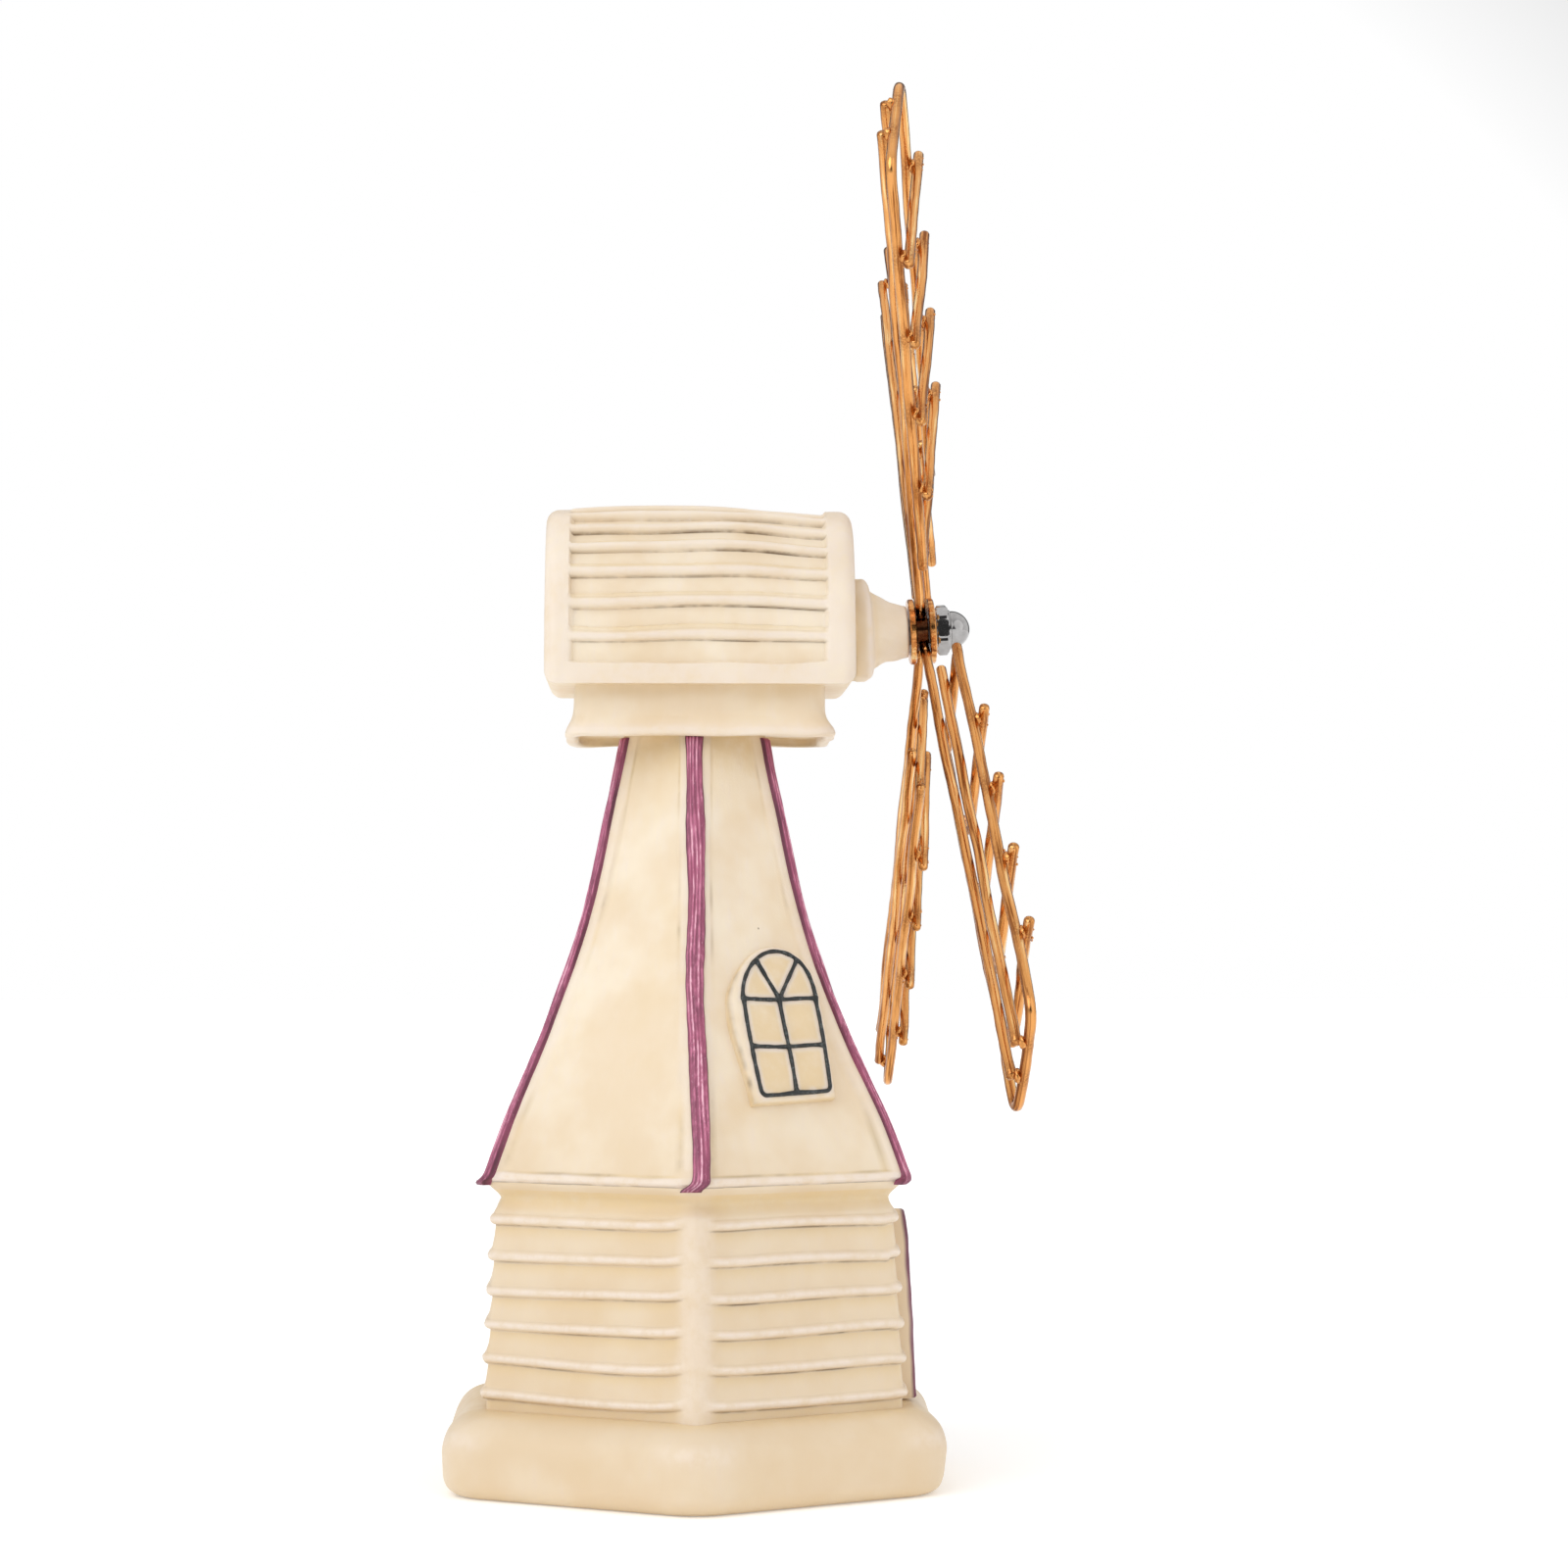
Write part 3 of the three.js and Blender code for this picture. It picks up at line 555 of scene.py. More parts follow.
def batten_shape(index):
    """A streaky strip of thick paint down a corner, which hooks round the skirt's lip at its foot."""
    rows, columns = 220, 36
    z = np.linspace(tower_low.z - 0.6, BATTEN_TOP, rows)[:, None]
    reach = (tower_apothem(z) - TOWER_CORNER) / math.cos(HALF_SIDE) + TOWER_CORNER
    foot = bump_at(z, z[0, 0], 1.5)
    width = BATTEN_WIDTH if index in SEAM_CORNERS else BATTEN_WIDTH * 0.64
    half = width / 2 * (1 + 0.07 * ripple(20 + index, z / 21) + 0.02 * ripple(30 + index, z / 5))
    half = half + 0.25 * foot
    lean = 0.15 * ripple(40 + index, z / 30) - 0.7 * smooth(-z, -78, -52) + 1.6 * bump_at(z, z[0, 0], 0.9)
    s = np.linspace(-1, 1, columns)[None, :]
    dome = np.sqrt(np.clip(1 - np.abs(s) ** 2.6, 0, 1))
    drift = 0.1 * ripple(50 + index, z / 34, s * 0.5)
    ridge = 0.5 + 0.5 * np.cos(BATTEN_RIDGES * math.pi * (s + drift) + 0.9 * ripple(60 + index, z / 25))
    ridge = ridge * (0.35 + 0.65 * smooth(ripple(65 + index, z / 22, s * 1.3), -0.7, 0.5))
    uneven = 0.5 + 0.5 * ripple(70 + index, z / 9, s)
    height = BATTEN_THICK * (0.2 + 0.8 * dome) + 0.15 * (ridge - 0.5) * dome
    height = height + 0.08 * (uneven - 0.5) + 0.3 * foot
    ends = smooth(z, z[0, 0], z[0, 0] + 0.5) * smooth(-z, -BATTEN_TOP, -BATTEN_TOP + 0.3)
    out = reach + height * (0.5 + 0.5 * ends)
    across = lean - half * s
    front = np.stack([out, -across, np.broadcast_to(z, out.shape)], -1)
    inner = np.broadcast_to(reach - BATTEN_SINK - 0.5, (rows, 1))
    left, right = front[:, :1].copy(), front[:, -1:].copy()
    left[..., 0], right[..., 0] = inner, inner
    rings = np.concatenate([left, front, right], 1)
    edge = smooth(np.abs(s), 0.84, 0.97) * (0.6 + 0.4 * ripple(80 + index, z / 12, s)) + 0.5 * foot
    streak = np.clip(ridge * 0.75 + 0.35 * (uneven - 0.3), 0, 1) * dome
    pad = np.zeros((rows, 1))
    masks = {
        "ridge": np.concatenate([pad, np.broadcast_to(streak, (rows, columns)), pad], 1),
        "line": np.concatenate([pad, np.clip(edge, 0, 0.85), pad], 1),
    }
    return loft(rings, masks)


for i in range(SIDES):
    turn = Matrix.Rotation(i * 2 * HALF_SIDE, 4, "Z")
    name = f"corner_batten_{i + 1}"
    make_piece(f"batten_{i + 1}", batten_shape(i), mauve, "mill", "mauve_paint", name, matrix=turn)


# ---- windows ----
WINDOW_SILL, WINDOW_SILL_PROUD = 60.8, 1.6
WINDOW_HEAD, WINDOW_HEAD_PROUD = 84.6, 0.6
WINDOW_WIDTH, WINDOW_HEIGHT, WINDOW_RISE, WINDOW_MARGIN = 13.2, 23.2, 7.9, 1.1
WINDOW_FORWARD = 2.2  # from the middle of the wall toward the front
WINDOW_FACES = {"left": 210, "right": 330}
FAN_ANGLE = 60


def wall_matrix(direction, apothem, z, lean):
    """X runs along the wall, Y up it and Z out of it."""
    out = Vector((math.cos(direction), math.sin(direction), 0))
    along = Vector((-math.sin(direction), math.cos(direction), 0))
    up = Vector((0, 0, math.cos(lean))) - out * math.sin(lean)
    matrix = Matrix((along, up, along.cross(up))).transposed().to_4x4()
    matrix.translation = out * apothem + Vector((0, 0, z))
    return matrix


def arch_outline(width, height, inset=0.0, rise=None, steps=56, foot_steps=34):
    """Points of a doorway with an arched head, anticlockwise from its lower left corner."""
    rise = rise or width / 2
    half, spring = width / 2 - inset, height - rise
    foot = [(x, inset) for x in np.linspace(-half, half, foot_steps, endpoint=False)]
    right = [(half, y) for y in np.linspace(inset, spring, foot_steps, endpoint=False)]
    turns = np.linspace(0, math.pi, steps)
    arc = [(half * math.cos(a), spring + (rise - inset) * math.sin(a)) for a in turns]
    left = [(-half, y) for y in np.linspace(spring, inset, foot_steps, endpoint=False)[1:]]
    return np.array(foot + right + arc + left)


def window_lean(points):
    """The hand-carved window's drift: its sides stand straighter than the wall's and its sill rises."""
    x, y = points[:, 0], points[:, 1]
    taper = 1 - 0.05 * (1 - np.clip(y / 12, 0, 1))
    drift = 0.05 * y - 1.2 + 0.7 * smooth(y, 15, 23)
    return np.column_stack([x * taper + drift, y * 1.015 + 0.045 * x * (1 - np.clip(y / 9, 0, 1)) - 0.3])


def window_paths():
    """The middles of the raised lines, from the window's lower left corner at (-width / 2, 0)."""
    radius, spring = WINDOW_WIDTH / 2, WINDOW_HEIGHT - WINDOW_RISE
    way = np.linspace(0, 1, 40)
    corner = 0.9
    arc = np.linspace(0, math.pi, 60)
    paths = [
        np.column_stack([radius * np.cos(arc), spring + WINDOW_RISE * np.sin(arc)]),
        np.column_stack([0.12 * np.sin(way * 5), way * spring]),
    ]
    for side in (-1, 1):
        bend = np.linspace(0, math.pi / 2, 8)
        foot = np.column_stack([radius - corner + corner * np.sin(bend), corner - corner * np.cos(bend)])
        upright = np.column_stack([radius + 0.1 * np.sin(way * 4), corner + way * (spring - corner)])
        half = np.vstack([[(0, 0.06), (radius / 2, -0.05)], foot, upright[1:]])
        paths.append(half * (side, 1))
        angle = math.radians(FAN_ANGLE)
        reach = way * np.hypot(radius * math.cos(angle), WINDOW_RISE * math.sin(angle)) * 0.99
        paths.append(np.column_stack([side * reach * math.cos(angle), spring + reach * math.sin(angle)]))
    for y in (0.497 * spring, spring):
        paths.append(np.column_stack([(2 * way - 1) * radius, y + 0.1 * np.cos(way * 7)]))
    return [window_lean(path) for path in paths]


def panel_shape(width, height):
    """A raised panel with softened edges, tan panes and pale halos along the raised lines."""
    lines = np.vstack(window_paths()) + (0, WINDOW_MARGIN)
    insets = [(0, -5), (0, -1.2), (0.05, -0.7), (0.2, -0.4), (0.5, -0.18), (0.85, -0.05)]
    insets += [(inset, 0) for inset in np.arange(1.1, width / 2 - 0.2, 0.3)]
    rings, wash, dry, brown = [], [], [], []
    for inset, z in insets:
        outline = arch_outline(width, height, inset, WINDOW_RISE + WINDOW_MARGIN)
        x, y = outline[:, 0], outline[:, 1]
        spread = np.clip(-x / (width / 2), 0, 1) ** 3 * (0.3 + 1.2 * bump_at(y, 14, 8))
        outline = window_lean(outline) - np.column_stack([spread, np.zeros(len(x))])
        lift = 0.05 * ripple(90, outline[:, 0] / 6, outline[:, 1] / 6) if inset > 0.9 else 0
        rings.append(np.column_stack([outline, np.full(len(outline), z) + lift]))
        gap = np.linalg.norm(outline[:, None, :] - lines[None, ::2, :], axis=2).min(1)
        inside = smooth(inset, 1.0, 1.6)
        pane = smooth(gap, 0.75, 1.25) * inside
        wash.append(np.where(z < -0.4, 0.6, 0.62 * pane))
        dry.append(np.where(z < -0.4, 0.0, 0.85 * (1 - smooth(gap, 0.55, 1.0))))
        faint = bump_at(x, -width / 2, 1.5) * (0.5 + 0.5 * ripple(91, y / 4))
        brown.append(np.where((z > -1) & (z < -0.2), 0.45 * faint, 0.0))
    return loft(rings, {"wash": np.array(wash), "dry": np.array(dry), "line": np.array(brown)})


def stroke(path, width, height, seed, sides=12):
    """A raised painted line: a flat-backed bead along a path on the panel's face."""
    path = np.asarray(path, float)
    tangent = np.gradient(path, axis=0)
    tangent /= np.linalg.norm(tangent, axis=1)[:, None]
    across = np.column_stack([tangent[:, 1], -tangent[:, 0]])
    length = np.concatenate([[0], np.cumsum(np.linalg.norm(np.diff(path, axis=0), axis=1))])
    swell = 1 + 0.09 * ripple(seed, length / 4)
    corners = bump_at(length, 0, 0.8) + bump_at(length, length[-1], 0.8)
    swell = swell + 0.35 * corners
    angles = np.linspace(0, 2 * math.pi, sides, endpoint=False)
    rings = []
    for point, side_way, w in zip(path, across, swell):
        offset = width / 2 * w * np.cos(angles)
        lift = np.where(np.sin(angles) > 0, height * w, 0.3) * np.sin(angles)
        x, y = (point[k] + side_way[k] * offset for k in (0, 1))
        rings.append(np.column_stack([x, y, lift]))
    return loft(rings[::-1])


def window_strokes():
    return join([stroke(path, 0.66, 0.45, 100 + i) for i, path in enumerate(window_paths())])


def fuse(piece, voxel, passes=6):
    """Joins a piece's overlapping solids into one skin and softens it."""
    remesh = piece.modifiers.new("fuse", "REMESH")
    remesh.mode = "VOXEL"
    remesh.voxel_size = voxel * MM
    remesh.use_smooth_shade = True
    soften = piece.modifiers.new("soften", "SMOOTH")
    soften.iterations = passes
    bpy.context.view_layer.update()
    evaluated = piece.evaluated_get(bpy.context.evaluated_depsgraph_get())
    mesh = bpy.data.meshes.new_from_object(evaluated)
    piece.modifiers.clear()
    piece.data = mesh
    mesh.shade_smooth()


def add_window(side):
    low = tower_apothem(WINDOW_SILL) + WINDOW_SILL_PROUD
    high = tower_apothem(WINDOW_HEAD) + WINDOW_HEAD_PROUD
    lean = math.atan2(low - high, WINDOW_HEAD - WINDOW_SILL)
    wall = wall_matrix(math.radians(WINDOW_FACES[side]), low, WINDOW_SILL, lean)
    mirror = 1 if side == "left" else -1
    wall = wall @ Matrix.Translation((mirror * WINDOW_FORWARD, 0, 0)) @ Matrix.Scale(mirror, 4, (1, 0, 0))
    margin = WINDOW_MARGIN
    panel = panel_shape(WINDOW_WIDTH + 2 * margin, WINDOW_HEIGHT + 2 * margin)
    node = f"window_panel_{side}"
    make_piece(f"panel_{side}", panel, cream, "mill", "cream_resin", node, matrix=in_metres(wall))
    bars = in_metres(wall @ Matrix.Translation((0, margin, 0.02)))
    node = f"window_bars_{side}"
    piece = make_piece(
        f"window_lines_{side}", window_strokes(), lead, "mill", "dark_line_paint", node, matrix=bars
    )
    fuse(piece, 0.13, 4)


for side in WINDOW_FACES:
    add_window(side)


# ---- door ----
DOOR_WIDTH, DOOR_HEIGHT, DOOR_BAND = 18, 29, 1.8
DOOR_GAP = 0.3


def door_surround_shape():
    """A round-headed band: rings run across the band and the columns follow the doorway."""
    section = (
        (0, -1.2), (0, 0.7), (0.05, 1.25), (0.3, 1.55), (0.8, 1.62),
        (1.2, 1.5), (1.5, 1.6), (1.75, 1.35), (1.8, 0.9), (1.8, -1.2),
    )
    rings, bare, ridge = [], [], []
    for inset, z in section:
        outline = arch_outline(DOOR_WIDTH, DOOR_HEIGHT, inset, steps=40, foot_steps=26)
        uneven = 0.1 * ripple(120, outline[:, 0] / 7, outline[:, 1] / 7, inset)
        rings.append(np.column_stack([outline, z + uneven * (z > 0)]))
        bare.append(np.full(len(outline), 1.0 if inset == 0 and z < 1 else 0.0))
        ridge.append(0.55 + 0.45 * ripple(121, outline[:, 1] / 16, outline[:, 0] / 16, inset * 1.5))
    rings = np.array(rings)
    rows, columns, _ = rings.shape
    wrap = quads(rows, columns)
    last = (rows - 1) * columns
    wrap += [[last + i, last + (i + 1) % columns, (i + 1) % columns, i] for i in range(columns)]
    masks = {"bare": np.array(bare).ravel(), "ridge": np.clip(np.array(ridge), 0, 1).ravel()}
    masks["line"] = np.full(rows * columns, 0.78)
    return rings.reshape(-1, 3), wrap, masks


def door_leaf_shape():
    """Four upright boards with grooves between them, inside a round head."""
    inset = DOOR_BAND + DOOR_GAP
    width, height = DOOR_WIDTH - 2 * inset, DOOR_HEIGHT - 2 * inset
    half, spring = width / 2, height - width / 2
    x = np.linspace(-1, 1, 90)
    rows = []
    groove_line = []
    for x_way in x * half:
        top = spring + math.sqrt(max(half**2 - x_way**2, 0.02))
        y = np.linspace(0, top, 60)
        board = abs(((x_way / half + 1) * 2) % 1 - 0.5) * 2
        depth = 1.0 - 0.55 * smooth(board, 0.84, 0.97) - 0.05 * ripple(125, x_way / 2.4, y / 20)
        rows.append(np.column_stack([np.full(60, x_way), y, depth]))
        groove_line.append(np.full(60, float(smooth(board, 0.86, 0.95))))
    front = np.array(rows)
    back = front.copy()
    back[..., 2] = -1.2
    rings = np.concatenate([front, back[:, ::-1]], 1)
    line = np.concatenate([np.array(groove_line), np.zeros((90, 60))], 1)
    return loft(rings, {"line": 0.8 * line, "wash": 0.4 * np.ones_like(line)})


def add_door():
    foot = PLINTH_TOP + DOOR_GAP
    apothem = BEAD_APOTHEM - (foot - BEAD_FIRST) * STOREY_TAPER + DOOR_GAP
    wall = wall_matrix(math.radians(270), apothem, foot, math.atan(STOREY_TAPER))
    matrix = in_metres(wall)
    band = door_surround_shape()
    make_piece("door_band", band, mauve, "mill", "mauve_paint", "door_surround", matrix=matrix)
    raised = in_metres(wall @ Matrix.Translation((0, DOOR_BAND + DOOR_GAP, 0)))
    make_piece("door_boards", door_leaf_shape(), cream, "mill", "cream_resin", "door_leaf", matrix=raised)


add_door()


# ---- head base ----
ledge_low, ledge_high = box_mm("head_base")
HEAD_Y = (ledge_low.y + ledge_high.y) / 2
LEDGE_HALF_X, LEDGE_HALF_Y = ledge_high.x, (ledge_high.y - ledge_low.y) / 2
LEDGE_BOTTOM = ledge_low.z


def rect_ring(half_x, half_y, radius, z, steps=26, arc_steps=7):
    """A rounded rectangle round the head's middle, anticlockwise from above."""
    ring = []
    corners = ((1, 1), (-1, 1), (-1, -1), (1, -1))
    for quarter, (sx, sy) in enumerate(corners):
        cx, cy = sx * (half_x - radius), sy * (half_y - radius)
        for a in np.linspace(0, 1, arc_steps):
            angle = (quarter + a) * math.pi / 2
            ring.append((cx + radius * math.cos(angle), cy + radius * math.sin(angle)))
        nx, ny = corners[(quarter + 1) % 4]
        end = (nx * (half_x - radius), ny * (half_y - radius))
        leave = (quarter + 1) * math.pi / 2
        for t in np.linspace(0, 1, steps)[1:-1]:
            ring.append(
                (
                    cx + (end[0] - cx) * t + radius * math.cos(leave),
                    cy + (end[1] - cy) * t + radius * math.sin(leave),
                )
            )
    ring = np.array(ring)
    return np.column_stack([ring[:, 0], ring[:, 1] + HEAD_Y, np.full(len(ring), z)])


def head_base_shape():
    # inset from the ledge's edge and height above its underside
    bead = ((0.5, 0), (0.08, 0.2), (0, 0.6), (0.22, 1.3), (0.62, 2.0))
    neck = ((1.15, 3.1), (1.42, 4.4), (1.5, 6), (1.55, 8.3))
    outer = spline(bead + neck, 40)
    recess = [(3.5, 1.3), (2.2, 1.3), (1.95, 1.1), (1.9, 0.3), (1.7, 0.05), (1.2, 0)]
    rings, wash, dry, line = [], [], [], []
    for inset, up in [*recess, *outer.tolist()]:
        ring = rect_ring(LEDGE_HALF_X - inset, LEDGE_HALF_Y - inset, 3.2, LEDGE_BOTTOM + up)
        uneven = 0.12 * ripple(130, ring[:, 0] / 13, ring[:, 1] / 13, up / 5)
        ring[:, 2] += 0.16 * ripple(131, ring[:, 0] / 15, ring[:, 1] / 15) * (up < 3)
        middle = ring[:, :2].mean(0)
        outward = ring[:, :2] - middle
        ring[:, :2] += outward / np.linalg.norm(outward, axis=1)[:, None] * uneven[:, None]
        rings.append(ring)
        # painted shade in the hollow under the ledge and under the eave at the neck's top, painted highlight
        # on the bead, each partly wash and dry brush
        inside = inset > 1.6 and up < 1.5
        wash.append(np.full(len(ring), 0.8 if inside else float(0.35 * bump_at(up, 7.8, 1.6))))
        dry.append(np.full(len(ring), float(0.7 * bump_at(up, 1.0, 0.9)) * (not inside)))
        line.append(np.full(len(ring), 0.25 if inside and up < 0.5 else 0.0))
    rings = np.array(rings)
    return loft(rings, {"wash": np.array(wash), "dry": np.array(dry), "line": np.array(line)})


make_piece("head_ledge", head_base_shape(), cream, "mill", "cream_resin", "head_base", crease=60)


# ---- arched roof ----
roof_low, roof_high = box_mm("head_roof")
ROOF_HALF_X, ROOF_RISE, ROOF_BOTTOM = roof_high.x, roof_high.z - roof_low.z, roof_low.z
ROOF_BACK, ROOF_FRONT = roof_high.y, roof_low.y
BORDER_BACK, BORDER_FRONT, EAVE_BORDER = 4.0, 4.5, 3.3
FIELD_DROP = 1.2
LIP_FIRST, LIP_STEP, LIPS = 15.0, 11.7, 7  # degrees up the arch, from the eave
LIP_RADIUS = 0.9
END_RADIUS = 2.1


def arch_point(angle, inset):
    """On the arch's section, in X and height above the eave."""
    return (ROOF_HALF_X - inset) * np.cos(angle), inset + (ROOF_RISE - 2 * inset) * np.sin(angle)


def roof_field(angle, y):
    """How far the boards stand off the arch's surface, and their masks."""
    from_back = ROOF_BACK - y
    from_front = y - ROOF_FRONT
    length = ROOF_BACK - ROOF_FRONT
    way = from_back / length  # 0 at the back, 1 at the front
    fold = np.minimum(angle, math.pi - angle)
    near = angle > math.pi / 2
    x, up = arch_point(fold, 0)
    millimetres = np.hypot(ROOF_HALF_X * np.sin(fold), ROOF_RISE * np.cos(fold)) * math.radians(1)
    degrees = np.degrees(fold)
    climb = 0.35 + 0.65 * smooth(degrees, 10, 70)
    wave = climb * (0.85 * bump_at(way, 0.55, 0.26) - 1.35 * climb * smooth(way, 0.68, 0.95))
    wave = wave + 0.14 * ripple(140, way * 3, degrees / 22, near * 3.3)
    level = degrees - wave / np.maximum(millimetres, 0.2)
    index = np.clip(np.round((level - LIP_FIRST) / LIP_STEP + 0.2), 0, LIPS - 1)
    above = (level - (LIP_FIRST + index * LIP_STEP)) * np.maximum(millimetres, 0.2)
    pitch = LIP_STEP * np.maximum(millimetres, 0.2)
    above = np.where(above < -0.8 * pitch, above + pitch, above)
    boards = clapboard(above, pitch, LIP_RADIUS, FIELD_DROP) - 0.1
    boards = np.where(level < LIP_FIRST - 1.5, -FIELD_DROP * 0.85, boards)
    edge = 0.32 * ripple(141, degrees / 16, near * 2.1)
    inside = smooth(from_back + edge * 0.5, BORDER_BACK - 0.15, BORDER_BACK + 0.25)
    inside = inside * smooth(from_front + edge * 0.5, BORDER_FRONT - 0.15, BORDER_FRONT + 0.25)
    eave = EAVE_BORDER + 0.2 * ripple(142, way * 2.2, near * 1.7)
    inside = inside * smooth(up, eave - 0.15, eave + 0.25)
    push = inside * boards + 0.1 * ripple(143, way * 3, degrees / 30)
    ridge_wave = (0.95 * bump_at(way, 0.42, 0.3) - 0.5 * smooth(way, 0.75, 0.92)) * smooth(degrees, 62, 88)
    push = push + ridge_wave * inside - 0.45 * way * smooth(degrees, 40, 90)
    # painted shadow under each lip and at the boards' ends by the borders, painted shade on each board under
    # the lip above it, and painted highlight on the crests, each partly real line, wash and dry brush
    under = bump_at(above, -LIP_RADIUS - 0.05, 0.12) * inside
    ends = bump_at(from_back, BORDER_BACK + 0.3, 0.28) + bump_at(from_front, BORDER_FRONT + 0.3, 0.28)
    hollow = smooth(above, 1.0, 2.4)
    strength = 0.6 + 0.15 * way + 0.3 * ripple(144, way * 2.5, index * 3.1)
    strength = strength * (1 - 0.5 * smooth(degrees, 58, 75))
    line = np.clip(under * strength + 0.35 * ends * hollow * inside * (0.4 + way), 0, 0.95)
    high = smooth(degrees, 30, 65)
    wash = inside * (0.3 + 0.35 * high + 0.35 * smooth(above, 0.9, 2.6)) * (above > 0.6) * (level < 88)
    wash = np.clip(wash, 0, 1)
    crest = bump_at(above, 0.05, 0.62) * inside
    dry = np.clip(0.75 * crest + 0.6 * (1 - inside), 0, 1)
    return push, {"line": line, "wash": wash, "dry": dry}


def roof_shape():
    angles = np.linspace(0, math.pi, 561)
    turn = np.linspace(0, math.pi / 2, 9)
    rounding = END_RADIUS * (1 - np.sin(turn))
    step = END_RADIUS * (1 - np.cos(turn))
    middle = np.arange(ROOF_FRONT + END_RADIUS + 0.35, ROOF_BACK - END_RADIUS - 0.2, 0.36)
    y_rows = np.concatenate([ROOF_FRONT + step, middle, (ROOF_BACK - step)[::-1]])
    insets = np.concatenate([rounding, np.zeros(len(middle)), rounding[::-1]])
    floor_x = np.linspace(-1, 1, 40)[1:-1]
    rings, line, wash, dry = [], [], [], []
    for y, inset in zip(y_rows, insets):
        x, up = arch_point(angles, inset)
        push, masks = roof_field(angles, np.full_like(angles, y))
        nx, nz = np.cos(angles) / ROOF_HALF_X, np.sin(angles) / ROOF_RISE
        size = np.hypot(nx, nz)
        foot = smooth(np.minimum(angles, math.pi - angles), 0, 0.06)
        out_x, out_z = push * foot * nx / size, push * foot * nz / size
        arch = np.column_stack([x + out_x, np.full_like(x, y), ROOF_BOTTOM + up + out_z])
        flat = np.column_stack([floor_x * x[0], np.full(38, y), np.full(38, ROOF_BOTTOM + inset)])
        rings.append(np.concatenate([arch, flat]))
        blank = np.zeros(38)
        line.append(np.concatenate([masks["line"], blank]))
        wash.append(np.concatenate([masks["wash"], blank + 0.4]))
        dry.append(np.concatenate([masks["dry"], blank]))
    rings = rings[::-1]
    line, wash, dry = line[::-1], wash[::-1], dry[::-1]
    return gable_ends(rings, line, wash, dry)


GABLE_BORDER = 3.2
GABLE_DROP = 0.5


def gable_ends(rings, line, wash, dry):
    """Adds the two end faces: a border that follows the arch and a shallow field inside it."""
    centre = np.array([0, 0, ROOF_BOTTOM + 0.36 * ROOF_RISE])
    border_share = 1 - GABLE_BORDER / ROOF_HALF_X
    field_share = 1 - (GABLE_BORDER + 0.35) / ROOF_HALF_X
    steps = ((0.93, 0), (border_share, 0), (field_share, 1), (0.6, 1), (0.3, 1))
    for first in (True, False):
        edge = rings[0] if first else rings[-1]
        inward = -1 if first else 1
        for share, drop in steps:
            ring = centre + (edge - centre) * share
            ring[:, 1] = edge[:, 1] + inward * drop * GABLE_DROP
            count = len(ring)
            extra_wash_and_shade = np.full(count, 0.35 * drop)
            extra_line = np.full(count, 0.25 if share == steps[2][0] else 0.0)
            extra_dry_brush_and_highlight = np.full(count, 0.4 * (1 - drop))
            if first:
                rings, line = [ring, *rings], [extra_line, *line]
                wash, dry = [extra_wash_and_shade, *wash], [extra_dry_brush_and_highlight, *dry]
            else:
                rings, line = [*rings, ring], [*line, extra_line]
                wash, dry = [*wash, extra_wash_and_shade], [*dry, extra_dry_brush_and_highlight]
    return loft(rings, {"line": np.array(line), "wash": np.array(wash), "dry": np.array(dry)})


make_piece("roof_casting", roof_shape(), cream, "mill", "cream_resin", "head_roof", crease=60)


# ---- axle: local X is up, Y is to the left-hand side and Z points to the front ----
joint = frame["joints"][0]
AXLE_FRONT = Vector(joint["axis"]).normalized()
AXLE_SIDE = Vector((-1, 0, 0))
AXLE_UP = AXLE_SIDE.cross(AXLE_FRONT)
HUB = Vector(joint["pos_m"]) / MM
axle = Matrix((AXLE_UP, AXLE_SIDE, AXLE_FRONT)).transposed().to_4x4()
axle.translation = HUB


def turned(profile, sides=72, masks=None, uneven=0.0, seed=0):
    """A lathe shape round local Z from (radius, height) rows."""
    profile = np.asarray(profile, float)
    angles = np.linspace(0, 2 * math.pi, sides, endpoint=False)
    radius, height = profile[:, :1], profile[:, 1:]
    x, y = radius * np.cos(angles), radius * np.sin(angles)
    swell = 1 + uneven * ripple(seed, x / 6, y / 6, height / 4) / np.maximum(radius, 1)
    rings = np.stack([x * swell, y * swell, np.broadcast_to(height, x.shape)], -1)
    return loft(rings, {key: np.asarray(v, float)[:, None] for key, v in (masks or {}).items()})


NOSE_COLLAR, NOSE_ROOT, NOSE_TIP = 8.15, 6.3, 4.2
NOSE_BACK, NOSE_COLLAR_FRONT, NOSE_END = -12.2, -8.1, -2.3
STUD_BORE = 2.3


